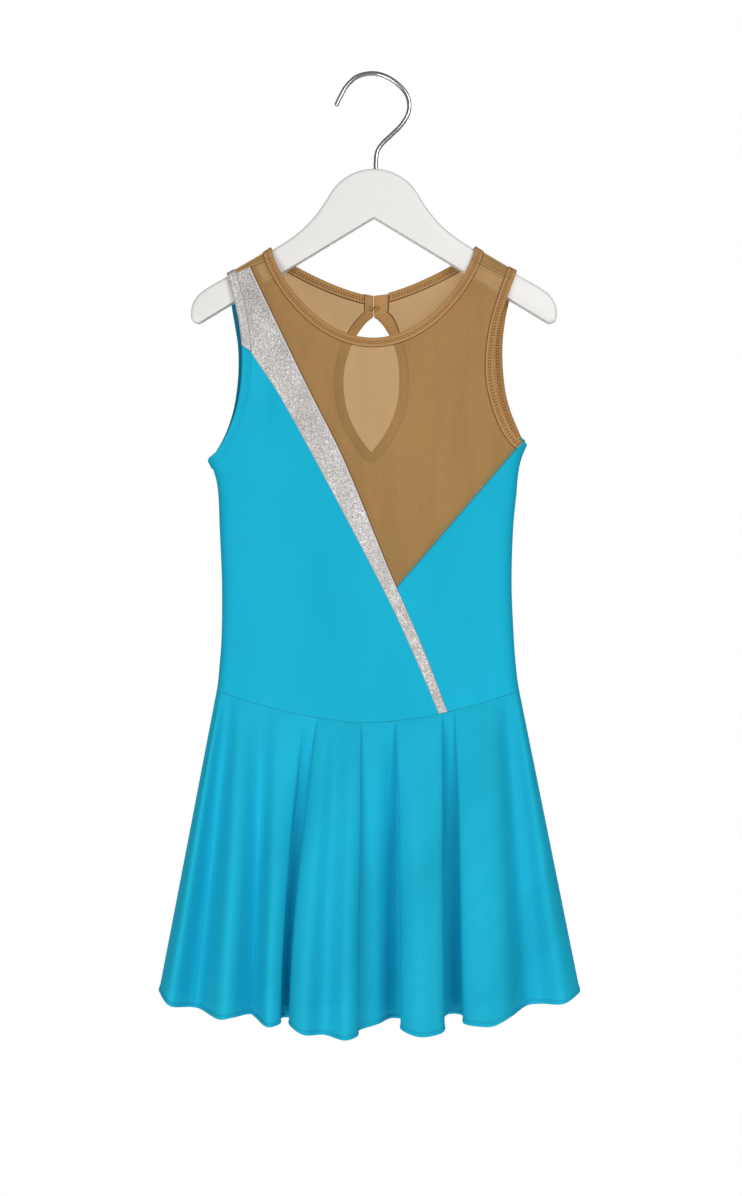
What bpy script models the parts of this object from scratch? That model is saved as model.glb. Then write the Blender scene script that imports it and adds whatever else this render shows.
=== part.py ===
# Sleeveless figure skating dress with a sheer yoke, hanging on a child's wooden hanger.
# Metres, +Z up, the front faces -Y. The origin is the inside top of the hook, where a rail holds it.
# Left and right are as seen from the front.

import math

import bmesh
import bpy
from mathutils import Vector, geometry

# Cloth and seams
CLOTH_HALF = 0.0006          # half the wall of the stretch cloth and the mesh
BAND_OUT = 0.0016            # a folded band stands this far out of the cloth's middle
BAND_WIDTH = 0.0075
SEAM_GAP = 0.0003
ROLLED_HEM_HALF = 0.0011
ROLLED_HEM_HEIGHT = 0.003
PANEL_STEP = 0.016           # spacing of the points inside a panel
EDGE_STEP = 0.006            # spacing of the points along its edges
SLOPE_STEP = 0.0001          # step for the surface's slope
SOFTEN_STEP = 0.0015         # edges that cross the shoulder are softened with points this far apart
SOFTEN_TIMES = 5
FINE_STEP = 0.0004           # points of an outline are no closer than this
CARRY_UP = 0.025             # an edge is carried on this far down the other side of the shoulder
RUN_ON = 0.020               # an armhole's edge is drawn this far past the side seam, then cut there
SIDE_ROWS = 3                # rows of points round the turn at a side seam
SIDE_STEP = 0.0096           # spacing along those rows
RIDGE_ROWS = 3               # rows of points each side of the shoulder's ridge

# Hanger
BOARD_HALF = 0.005           # half the board's thickness
BOARD_ROUND = 0.0032
ARM_LINE_TOP = -0.0944       # where the line of the arms' top edge crosses the middle
ARM_SLOPE = 0.588
ARM_FROM = 0.0816            # the top edge is straight from here ...
ARM_TO = 0.1214              # ... to here
HEAD_RADIUS = 0.042
HEAD_TOP = -0.0768
HEAD_ARC_TO = math.radians(60)
SWEEP_PULL = 0.025           # how hard the curve between head and arm is pulled along its ends
TIP_OUT = 0.1499
TIP_LOW = -0.1960
TIP_PULL = 0.017
TIP_CORNER = (0.1438, -0.2035)
NOTCH_TOP = -0.1166
WIRE_RADIUS = 0.0019
SHANK_X = 0.0016
SHANK_DEPTH = 0.016          # the wire's shank goes this far into the board
SHANK_CLEAR = 0.0003

# How the cloth hangs over the board
RIDGE_LIFT = 0.0015          # the cloth's middle over the board's top edge
RIDGE_RADIUS = 0.0035
BOARD_CLEAR = 0.0074         # the cloth's middle beside the board
FALL_AWAY = 0.070            # the cloth leaves the board over this length
SIDE_RADIUS = 0.008          # round turn at the side seams
CROWN_FRONT = 0.009
CROWN_BACK = 0.007
FRONT, BACK = -1, 1

# Body from the waist up: height, left side, right side. Above the armholes it only spreads the crown.
BODY_SECTIONS = (
    (-0.5600, -0.1365, 0.1270),
    (-0.5300, -0.1335, 0.1240),
    (-0.5020, -0.1280, 0.1181),
    (-0.4815, -0.1259, 0.1156),
    (-0.4590, -0.1244, 0.1140),
    (-0.4170, -0.1241, 0.1123),
    (-0.3720, -0.1259, 0.1135),
    (-0.3410, -0.1273, 0.1164),
    (-0.3265, -0.1301, 0.1177),
    (-0.3150, -0.1351, 0.1200),
    (-0.3036, -0.1400, 0.1246),
    (-0.2850, -0.1460, 0.1360),
    (-0.2500, -0.1520, 0.1480),
    (-0.1400, -0.1550, 0.1520),
)

# Armhole edges, from the shoulder down to the side seam: height, distance from the middle
ARMHOLES = {
    ("left", FRONT): (
        (-0.1500, -0.1245), (-0.1627, -0.1204), (-0.1934, -0.1121), (-0.2194, -0.1078), (-0.2368, -0.1072),
        (-0.2555, -0.1084), (-0.2730, -0.1115), (-0.2891, -0.1171), (-0.3028, -0.1240), (-0.3110, -0.1300),
    ),
    ("left", BACK): (
        (-0.1500, -0.1216), (-0.1627, -0.1204), (-0.1861, -0.1178), (-0.2034, -0.1149), (-0.2208, -0.1124),
        (-0.2398, -0.1121), (-0.2563, -0.1134), (-0.2741, -0.1165), (-0.2919, -0.1223), (-0.3050, -0.1290),
        (-0.3110, -0.1330),
    ),
    ("right", FRONT): (
        (-0.1500, 0.1206), (-0.1601, 0.1170), (-0.1834, 0.1085), (-0.2020, 0.1024), (-0.2181, 0.0993),
        (-0.2343, 0.0977), (-0.2493, 0.0980), (-0.2630, 0.1005), (-0.2766, 0.1048), (-0.2904, 0.1111),
        (-0.2995, 0.1180),
    ),
    ("right", BACK): (
        (-0.1500, 0.1190), (-0.1601, 0.1170), (-0.1855, 0.1111), (-0.1982, 0.1085), (-0.2146, 0.1066),
        (-0.2310, 0.1063), (-0.2463, 0.1073), (-0.2602, 0.1092), (-0.2741, 0.1130), (-0.2867, 0.1180),
        (-0.2975, 0.1225),
    ),
}
UNDERARM = {"left": -0.3155, "right": -0.3035}

# Necklines: middle height, share of the drop at u is (1 - u ** wide) ** deep
NECK_MIDDLE = -0.0008
NECK_HALF = 0.0828
NECK_EDGES = {
    FRONT: {"low": -0.2176, "wide": 2.0, "deep": 0.77},
    BACK: {"low": -0.1777, "wide": 1.35, "deep": 0.95},
}
NECK_TOP = -0.1435

# Seams across the body
VEE = (0.0180, -0.4200)              # where the yoke ends in a point
YOKE_SIDE = (0.1222, -0.2991)        # the yoke's seam runs from the point to here, at the right armhole
BACK_SHOULDER = (-0.1160, -0.1650)   # the back yoke's left seam runs from the point to here
SHOULDER_SEAM = {"left": (0.0040, 0.0110), "right": (0.0105, 0.0140)}   # below the ridge: armhole, neck
SILVER_OVER = 0.003                  # the silver armhole band ends this far over the ridge
SILVER_SLANT = 0.005                 # its lower end is this much higher at the free edge
POINT_MITRE = 1.3                    # the seam is this much deeper at the yoke's point
BLUNT_TIP = 0.001                    # the back panel's narrow point is blunted by this

# Silver band on the front: height, left edge, right edge
DIAGONAL_BAND = (
    (-0.1400, -0.1520, -0.1095),
    (-0.1614, -0.1390, -0.0999),
    (-0.1870, -0.1225, -0.0880),
    (-0.2275, -0.1002, -0.0685),
    (-0.2599, -0.0788, -0.0528),
    (-0.3084, -0.0516, -0.0283),
    (-0.3517, -0.0285, -0.0098),
    (-0.4052, -0.0004, 0.0117),
    (-0.4403, 0.0171, 0.0274),
    (-0.4789, 0.0346, 0.0437),
    (-0.5225, 0.0531, 0.0604),
    (-0.5600, 0.0690, 0.0760),
)

# Back keyhole
SLIT_X = -0.0002
SLIT_HALF = 0.0003
KEYHOLE_TOP = -0.1955
KEYHOLE_LOW = -0.3072
KEYHOLE_WIDE_AT = -0.2470
KEYHOLE_HALF = 0.0232
KEYHOLE_LEAN = -0.0022               # the middle of its widest part
KEYHOLE_ABOVE = (1.9, 0.75)          # above the widest part its half width is (1 - u ** first) ** second
KEYHOLE_BELOW = 2.3                  # below it, 1 - u ** this
KEYHOLE_MITRE = 1.25                 # its band is this much deeper at the point
KEYHOLE_BAND_UP = 0.0015             # the band's sewn edge runs this far past the neckline

# Waist seam and hem
WAIST_SIDE = -0.5035
WAIST_DIP = {FRONT: 0.0255, BACK: 0.0120}
WAIST_POWER = 1.7
HEM_SIDE = -0.7496

# Skirt folds, side seam to side seam: place at the waist, place, depth and height at the hem
FRONT_FOLDS = (
    (None, -0.1755, 0.000, -0.7496),
    (-0.1210, -0.1645, 0.015, -0.7540),
    (-0.1036, -0.1527, 0.012, -0.7605),
    (-0.0970, -0.1250, 0.030, -0.7627),
    (-0.0906, -0.1054, 0.025, -0.7665),
    (-0.0720, -0.0844, 0.038, -0.7689),
    (-0.0558, -0.0732, 0.010, -0.7683),
    (-0.0259, -0.0363, 0.050, -0.7746),
    (0.0008, -0.0065, 0.019, -0.7716),
    (0.0146, 0.0179, 0.009, -0.7682),
    (0.0372, 0.0395, 0.048, -0.7741),
    (0.0639, 0.0676, 0.009, -0.7670),
    (0.0809, 0.0938, 0.040, -0.7679),
    (0.1020, 0.1340, 0.020, -0.7618),
    (0.1110, 0.1590, 0.012, -0.7555),
    (None, 0.1681, 0.000, -0.7496),
)
BACK_FOLDS = (
    (None, -0.1755, 0.000, -0.7496),
    (-0.1190, -0.1620, 0.015, -0.7550),
    (-0.1010, -0.1300, 0.012, -0.7630),
    (-0.0780, -0.0940, 0.040, -0.7690),
    (-0.0520, -0.0600, 0.011, -0.7670),
    (-0.0220, -0.0270, 0.046, -0.7730),
    (0.0080, 0.0080, 0.011, -0.7685),
    (0.0360, 0.0420, 0.044, -0.7730),
    (0.0600, 0.0740, 0.011, -0.7665),
    (0.0830, 0.1060, 0.038, -0.7685),
    (0.1000, 0.1330, 0.012, -0.7625),
    (0.1110, 0.1570, 0.014, -0.7555),
    (None, 0.1681, 0.000, -0.7496),
)
FLANK = 0.12                 # over 1 / (2 pi) a fold's flank leans back under its crest
COLUMNS_PER_FLANK = 5
SKIRT_ROWS = 6
SKIRT_SPREAD = 0.9           # rows of a skirt lie a little closer towards the hem
HEM_TAPER = 1.6              # the rolled hem thins out over this many of its heights

# Wire hook and eye behind the neck, on the inside
CLOSURE_HEIGHT = -0.1881
CLOSURE_WIRE = 0.0004
EYE = {"from": -0.0038, "to": -0.0002, "half_height": 0.0014}
CATCH = {"from": 0.0008, "to": 0.0044, "half_height": 0.0012}
LOOP = ((0.0, 0.6), (0.2, 1.0), (0.8, 0.9), (1.0, 0.0), (0.8, -0.9), (0.2, -1.0), (0.0, -0.6))

COLOURS = {
    "turquoise": ((0.014, 0.434, 0.617), 0.55, 0.0),
    "tan_mesh": ((0.366, 0.202, 0.078), 0.65, 0.0),
    "silver": ((0.50, 0.48, 0.46), 0.35, 0.8),
    "white_wood": ((0.82, 0.81, 0.79), 0.45, 0.0),
    "chrome": ((0.75, 0.75, 0.75), 0.12, 1.0),
}


def material(name):
    """The material of that name, made on first use."""
    found = bpy.data.materials.get(name)
    if found:
        return found
    colour, roughness, metallic = COLOURS[name]
    made = bpy.data.materials.new(name)
    made.use_nodes = True
    shader = made.node_tree.nodes["Principled BSDF"]
    shader.inputs["Base Color"].default_value = (*colour, 1.0)
    shader.inputs["Roughness"].default_value = roughness
    shader.inputs["Metallic"].default_value = metallic
    return made


def add_object(name, data, finish):
    data.materials.append(material(finish))
    made = bpy.data.objects.new(name, data)
    bpy.context.scene.collection.objects.link(made)
    return made


def ease(share):
    share = min(max(share, 0.0), 1.0)
    return share * share * (3.0 - 2.0 * share)


def smooth_row(rows, height):
    """The columns after the first of a table, on a smooth curve through its rows, at that height."""
    rows = sorted(rows)
    height = min(max(height, rows[0][0]), rows[-1][0])
    place = max(i for i in range(len(rows) - 1) if rows[i][0] <= height)
    before, low, high, after = (rows[min(max(place + k, 0), len(rows) - 1)] for k in (-1, 0, 1, 2))
    span = high[0] - low[0]
    t = (height - low[0]) / span
    found = []
    for a, b, c, d in zip(before[1:], low[1:], high[1:], after[1:]):
        start = (c - a) / max(high[0] - before[0], span) * span
        end = (d - b) / max(after[0] - low[0], span) * span
        found.append(
            (2 * t**3 - 3 * t**2 + 1) * b + (t**3 - 2 * t**2 + t) * start
            + (3 * t**2 - 2 * t**3) * c + (t**3 - t**2) * end
        )
    return found


# The cloth as one surface: a point on it is (along, height), where along is measured round the body.

def ridge(along):
    """Height of the cloth's middle on top of the arm."""
    return ARM_LINE_TOP - ARM_SLOPE * abs(along) + RIDGE_LIFT


def flat_ridge(along):
    """Height of the ridge if the turn over the board were unrolled straight up."""
    return ridge(along) + (math.pi / 2 - 1) * RIDGE_RADIUS


def body(height):
    """Middle and half the width of the body."""
    left, right = smooth_row(BODY_SECTIONS, height)
    return (left + right) / 2, (right - left) / 2


def side_along(which, height):
    """How far along the side seam lies."""
    middle, half = body(height)
    reach = half - SIDE_RADIUS + SIDE_RADIUS * math.pi / 2
    return middle + (reach if which == "right" else -reach)


def along_of(x, height):
    """How far along a point lies that is seen at x from the front."""
    middle, half = body(height)
    flat = half - SIDE_RADIUS
    past = abs(x - middle) - flat
    if past <= 0:
        return x
    turned = SIDE_RADIUS * math.asin(min(past / SIDE_RADIUS, 1.0))
    return middle + math.copysign(flat + turned, x - middle)


def cloth_point(side, along, height):
    """Where the cloth's middle is. Past the ridge a piece goes on down the other side."""
    over = height - flat_ridge(along)
    if over > 0:
        side, height = -side, height - 2 * over
    drop = abs(over)
    middle, half = body(height)
    flat = half - SIDE_RADIUS
    past = max(abs(along - middle) - flat, 0.0)
    angle = min(past / SIDE_RADIUS, math.pi / 2)
    reach = min(abs(along - middle), flat) + SIDE_RADIUS * math.sin(angle)
    x = middle + math.copysign(reach, along - middle)
    crown = CROWN_FRONT if side == FRONT else CROWN_BACK
    depth = SIDE_RADIUS * math.cos(angle) + crown * (1 - (reach / half) ** 2)
    depth = BOARD_CLEAR + (depth - BOARD_CLEAR) * ease(drop / FALL_AWAY)
    turn = drop / RIDGE_RADIUS
    if turn < math.pi / 2:
        return Vector((x, side * depth * math.sin(turn), ridge(along) - RIDGE_RADIUS * (1 - math.cos(turn))))
    return Vector((x, side * depth, height))


def cloth_normal(side, along, height):
    """The way out of the cloth."""
    across = cloth_point(side, along + SLOPE_STEP, height) - cloth_point(side, along - SLOPE_STEP, height)
    up = cloth_point(side, along, height + SLOPE_STEP) - cloth_point(side, along, height - SLOPE_STEP)
    return across.cross(up).normalized() * -side


# Curves in the cloth, as lists of (along, height)

def offset(curve, distance):
    """The curve moved to its left by that distance."""
    moved = []
    for i, point in enumerate(curve):
        way = Vector(curve[min(i + 1, len(curve) - 1)]) - Vector(curve[max(i - 1, 0)])
        left = Vector((-way.y, way.x)).normalized()
        moved.append((point[0] + left.x * distance, point[1] + left.y * distance))
    return moved


def cut(curve, keep):
    """The stretch of the curve where keep(point) is positive, ended where keep is zero."""
    kept = []
    for a, b in zip(curve, curve[1:]):
        fa, fb = keep(a), keep(b)
        if fa > 0 and not kept:
            kept.append(a)
        if (fa > 0) != (fb > 0):
            share = fa / (fa - fb)
            kept.append((a[0] + (b[0] - a[0]) * share, a[1] + (b[1] - a[1]) * share))
        if fb > 0:
            kept.append(b)
    return kept


def measured(curve):
    """How far along the curve each of its points lies."""
    lengths = [0.0]
    for a, b in zip(curve, curve[1:]):
        lengths.append(lengths[-1] + math.dist(a, b))
    return lengths


def resample(curve, step):
    """The curve with points about one step apart, both ends kept."""
    count = max(round(measured(curve)[-1] / step), 1)
    return at_shares(curve, [k / count for k in range(count + 1)])


def band_shares(curve, step):
    """Shares of the curve's length one step apart, and closer where it turns over the board."""
    lengths = measured(curve)
    close = 0.5 * RIDGE_RADIUS
    shares, reached = [0.0], 0.0
    for point, length in zip(curve, lengths):
        near = abs(point[1] - flat_ridge(point[0])) < 4 * RIDGE_RADIUS
        if length - reached >= (close if near else step):
            shares.append(length / lengths[-1])
            reached = length
    if lengths[-1] - reached < close and len(shares) > 2:
        shares.pop()
    return [*shares, 1.0]


def at_shares(curve, shares):
    """Points at these shares of the curve's length."""
    lengths = measured(curve)
    found, place = [], 0
    for share in shares:
        wanted = lengths[-1] * share
        while place < len(curve) - 2 and lengths[place + 1] < wanted:
            place += 1
        share = (wanted - lengths[place]) / max(lengths[place + 1] - lengths[place], 1e-12)
        a, b = curve[place], curve[place + 1]
        found.append((a[0] + (b[0] - a[0]) * share, a[1] + (b[1] - a[1]) * share))
    return found


def over_ridge(point):
    """The same place, as the other side's pieces count it."""
    return (point[0], 2 * flat_ridge(point[0]) - point[1])


def continued(own, other):
    """The edge below the ridge, and above it the other side's edge as it looks from here."""
    own = cut(own, lambda p: flat_ridge(p[0]) - p[1])
    other = cut(other, lambda p: flat_ridge(p[0]) - p[1])
    other = cut(other, lambda p: p[1] - flat_ridge(p[0]) + CARRY_UP)
    joined = resample([*(over_ridge(p) for p in reversed(other)), *own], SOFTEN_STEP)
    for _ in range(SOFTEN_TIMES):
        pairs = zip(joined, joined[1:-1], joined[2:])
        joined[1:-1] = [((a[0] + 2 * b[0] + c[0]) / 4, (a[1] + 2 * b[1] + c[1]) / 4) for a, b, c in pairs]
    return joined


def neck_half(which, side):
    """Half of the neckline, from a little above the shoulder down to the middle."""
    shape, sign = NECK_EDGES[side], 1 if which == "right" else -1
    curve = [(NECK_MIDDLE + sign * NECK_HALF, NECK_TOP + 0.01)]
    for k in range(25):
        u = math.cos(math.pi / 2 * k / 24)
        drop = (1 - abs(u) ** shape["wide"]) ** shape["deep"]
        curve.append((NECK_MIDDLE + sign * NECK_HALF * u, NECK_TOP + (shape["low"] - NECK_TOP) * drop))
    return curve


def neck_edge(side):
    """The neckline from the left shoulder to the right one, over the ridge at both ends."""
    left, right = (continued(neck_half(w, side), neck_half(w, -side)) for w in ("left", "right"))
    return [*left, *right[-2::-1]]


def armhole_part(which, side):
    """The armhole from above the shoulder down to the side seam and a little past it."""
    rows = ARMHOLES[which, side]
    top, low = rows[0][0], rows[-1][0]
    curve = []
    for k in range(41):
        height = top + (low - top) * k / 40
        curve.append((along_of(smooth_row(rows, height)[0], height), height))
    sign = 1 if which == "right" else -1
    end = (side_along(which, UNDERARM[which]), UNDERARM[which])
    return [*curve, end, (end[0] + sign * RUN_ON, end[1])]


def armhole_edge(which, side):
    """The armhole from over the ridge down to the side seam and a little past it."""
    return continued(armhole_part(which, side), armhole_part(which, -side))


def inner_armhole(which, side, gap=0.0):
    """The armhole band's edge that meets the panel."""
    turn = 1 if which == "left" else -1
    return offset(armhole_edge(which, side), turn * (BAND_WIDTH + gap))


def inside_side_seam(which, gap=SEAM_GAP / 2):
    """Positive for a point inside the side seam."""
    sign = 1 if which == "right" else -1
    return lambda p: sign * (side_along(which, p[1]) - p[0]) - gap


def seam_drop(which, along):
    """How far below the ridge the shoulder seam lies."""
    at_armhole, at_neck = SHOULDER_SEAM[which]
    share = (abs(along) - NECK_HALF) / (ARM_TO - NECK_HALF)
    return at_neck + (at_armhole - at_neck) * min(max(share, 0.0), 1.0)


def below_shoulder_seam(which, gap=SEAM_GAP / 2):
    """Positive on the front's side of the shoulder seam, for a front piece."""
    return lambda p: flat_ridge(p[0]) - seam_drop(which, p[0]) - gap - p[1]


def up_to_shoulder_seam(which, gap=SEAM_GAP / 2):
    """Positive on the back's side of the shoulder seam, for a back piece that comes over the ridge."""
    return lambda p: flat_ridge(p[0]) + seam_drop(which, p[0]) - gap - p[1]


def band_edge(which, gap=0.0):
    """The silver band's left or right edge, top to bottom, moved out of the band by gap."""
    column = 0 if which == "left" else 1
    top, low = DIAGONAL_BAND[0][0], DIAGONAL_BAND[-1][0]
    curve = []
    for k in range(61):
        height = top + (low - top) * k / 60
        curve.append((smooth_row(DIAGONAL_BAND, height)[column], height))
    return offset(curve, gap if which == "right" else -gap)


def waist_height(side, along):
    """Height of the waist seam."""
    middle, half = body(WAIST_SIDE)
    u = min(abs(along - middle) / half, 1.0)
    return WAIST_SIDE - WAIST_DIP[side] * (1 - u**WAIST_POWER)


def above_waist(side, gap=SEAM_GAP / 2):
    return lambda p: p[1] - waist_height(side, p[0]) - gap


def line_side(a, b, gap=0.0):
    """Positive to the left of the line from a to b, by more than gap."""
    way = Vector(b) - Vector(a)
    left = Vector((-way.y, way.x)).normalized()
    return lambda p: (Vector(p) - Vector(a)).dot(left) - gap


def side_seam(which, low, high, gap=SEAM_GAP / 2):
    """The side seam from height low to height high."""
    sign = 1 if which == "right" else -1
    return [
        (side_along(which, low + (high - low) * k / 90) - sign * gap, low + (high - low) * k / 90)
        for k in range(91)
    ]


def waist_seam(side, start, end, gap=SEAM_GAP / 2):
    """The waist seam between two places along it."""
    places = [start + (end - start) * k / 90 for k in range(91)]
    return [(along, waist_height(side, along) + gap) for along in places]


def straight(a, b, count=24):
    return [(a[0] + (b[0] - a[0]) * k / count, a[1] + (b[1] - a[1]) * k / count) for k in range(count + 1)]


# Solids

def wall(name, points, normals, faces, inner, outer, finish):
    """A closed wall: the faces moved out and in along the normals, and a rim all round."""
    count = len(points)
    verts = [p + n * outer[i] for i, (p, n) in enumerate(zip(points, normals))]
    verts += [p - n * inner[i] for i, (p, n) in enumerate(zip(points, normals))]
    edges = {(a, b) for face in faces for a, b in zip(face, (*face[1:], face[0]))}
    rim = [(b, a, a + count, b + count) for a, b in edges if (b, a) not in edges]
    mesh = bpy.data.meshes.new(name)
    mesh.from_pydata(verts, [], [*faces, *(tuple(i + count for i in reversed(f)) for f in faces), *sorted(rim)])
    mesh.shade_smooth()
    mesh.set_sharp_from_angle(angle=math.radians(40))
    return add_object(name, mesh, finish)


def near_ridge(point):
    return abs(point[1] - flat_ridge(point[0])) < 2 * RIDGE_RADIUS


def at_side_turn(point):
    """True where the body turns round to its side seam."""
    middle, half = body(point[1])
    return point[1] < UNDERARM["right"] and abs(point[0] - middle) > half - SIDE_RADIUS - 0.001


def lattice(low, high):
    """Points for the inside of a panel: even ones, and closer rows where the cloth turns over the board."""
    found = []
    row_step = PANEL_STEP * math.sqrt(3) / 2
    for row in range(int((high[1] - low[1]) / row_step) + 1):
        for column in range(int((high[0] - low[0]) / PANEL_STEP) + 2):
            point = (low[0] + (column - 0.5 * (row % 2)) * PANEL_STEP, low[1] + row * row_step)
            middle, half = body(point[1])
            clear = half - SIDE_RADIUS - 0.35 * PANEL_STEP - abs(point[0] - middle)
            if abs(point[1] - flat_ridge(point[0])) > 3.4 * RIDGE_RADIUS and clear > 0:
                found.append((point, 0.5 * PANEL_STEP))
    for which, sign in (("left", -1), ("right", 1)):
        for column in range(1, SIDE_ROWS + 1):
            for row in range(int((UNDERARM[which] - low[1]) / SIDE_STEP)):
                height = low[1] + (row + 0.5 * (column % 2)) * SIDE_STEP
                along = side_along(which, height) - sign * column * SIDE_RADIUS * math.pi / 2 / SIDE_ROWS
                found.append(((along, height), 0.3 * EDGE_STEP))
    ridge_step = RIDGE_RADIUS * math.pi / 5
    lean = math.atan(ARM_SLOPE)
    for column in range(int((high[0] - low[0]) / EDGE_STEP) + 1):
        along = low[0] + column * EDGE_STEP
        for row in range(-RIDGE_ROWS, RIDGE_ROWS + 1):
            step = row * ridge_step * math.cos(lean)
            across = along + math.copysign(math.sin(lean), along) * step
            found.append(((across, flat_ridge(along) + math.cos(lean) * step), 0.25 * EDGE_STEP))
    return found


def inside(outline, point, margin):
    """True if the point lies in the outline, and further than margin from its edge."""
    crossings, (x, y) = 0, point
    for a, b in zip(outline, [*outline[1:], outline[0]]):
        if (a[1] > y) != (b[1] > y) and x < a[0] + (y - a[1]) * (b[0] - a[0]) / (b[1] - a[1]):
            crossings += 1
        way = (b[0] - a[0], b[1] - a[1])
        share = ((x - a[0]) * way[0] + (y - a[1]) * way[1]) / max(way[0] ** 2 + way[1] ** 2, 1e-18)
        share = min(max(share, 0.0), 1.0)
        if math.dist(point, (a[0] + way[0] * share, a[1] + way[1] * share)) < margin:
            return False
    return crossings % 2 == 1


def spaced(curve):
    """The curve with its points closer where it turns over the board."""
    runs, run = [], [curve[0]]
    for point in curve[1:]:
        run.append(point)
        if (near_ridge(point), at_side_turn(point)) != (near_ridge(run[0]), at_side_turn(run[0])):
            runs.append(run)
            run = [point]
    runs.append(run)
    found = []
    for run in runs:
        if len(run) > 1:
            middle = run[len(run) // 2]
            step = RIDGE_RADIUS * 0.6 if near_ridge(middle) else EDGE_STEP
            if at_side_turn(run[0]) and at_side_turn(run[-2]) and abs(run[0][0] - run[-1][0]) > 0.004:
                step = SIDE_RADIUS * 0.4
            found += resample(run, step)[:-1]
    return [*found, curve[-1]]


def panel(name, side, edges, finish):
    """A sewn panel, cut along these edges, which follow each other anticlockwise as seen from the front."""
    outline = []
    for edge in edges:
        outline += spaced(edge)
    kept = []
    for point in outline:
        if not kept or math.dist(point, kept[-1]) > FINE_STEP:
            kept.append(point)
    if math.dist(kept[0], kept[-1]) < FINE_STEP:
        kept.pop()
    low = (min(p[0] for p in kept), min(p[1] for p in kept))
    high = (max(p[0] for p in kept), max(p[1] for p in kept))
    flat = [*kept, *(p for p, margin in lattice(low, high) if inside(kept, p, margin))]
    found, _, faces, *_ = geometry.delaunay_2d_cdt(
        [Vector(p) for p in flat], [], [list(range(len(kept)))], 1, 1e-7
    )
    faces = [tuple(face) if side == FRONT else tuple(reversed(face)) for face in faces]
    points = [cloth_point(side, *p) for p in found]
    normals = [cloth_normal(side, *p) for p in found]
    thick = [CLOTH_HALF] * len(points)
    return wall(name, points, normals, faces, thick, thick, finish)


# Round section of a folded band: share of its width, share of its thickness
BAND_SECTION = ((0.0, 0.5), (0.1, 1.0), (0.9, 1.0), (1.0, 0.5), (0.9, 0.0), (0.1, 0.0))


def band(name, side, free, sewn, finish):
    """A folded band between its free edge and the edge sewn to the panel."""
    shares = band_shares(resample(sewn, FINE_STEP), EDGE_STEP)
    free, sewn = at_shares(free, shares), at_shares(sewn, shares)
    build, rings = bmesh.new(), []
    for a, b in zip(free, sewn):
        ring = []
        for across, out in BAND_SECTION:
            flat = (a[0] + (b[0] - a[0]) * across, a[1] + (b[1] - a[1]) * across)
            lift = -CLOTH_HALF + (BAND_OUT + CLOTH_HALF) * out
            ring.append(build.verts.new(cloth_point(side, *flat) + cloth_normal(side, *flat) * lift))
        rings.append(ring)
    for first, second in zip(rings, rings[1:]):
        for k in range(len(first)):
            n = (k + 1) % len(first)
            build.faces.new((first[k], first[n], second[n], second[k]))
    build.faces.new(rings[0][::-1])
    build.faces.new(rings[-1])
    return finished(name, build, finish)


def finished(name, build, finish):
    """The bmesh as an object, its faces turned outwards."""
    bmesh.ops.recalc_face_normals(build, faces=build.faces)
    mesh = bpy.data.meshes.new(name)
    build.to_mesh(mesh)
    build.free()
    mesh.shade_smooth()
    mesh.set_sharp_from_angle(angle=math.radians(50))
    return add_object(name, mesh, finish)


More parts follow.
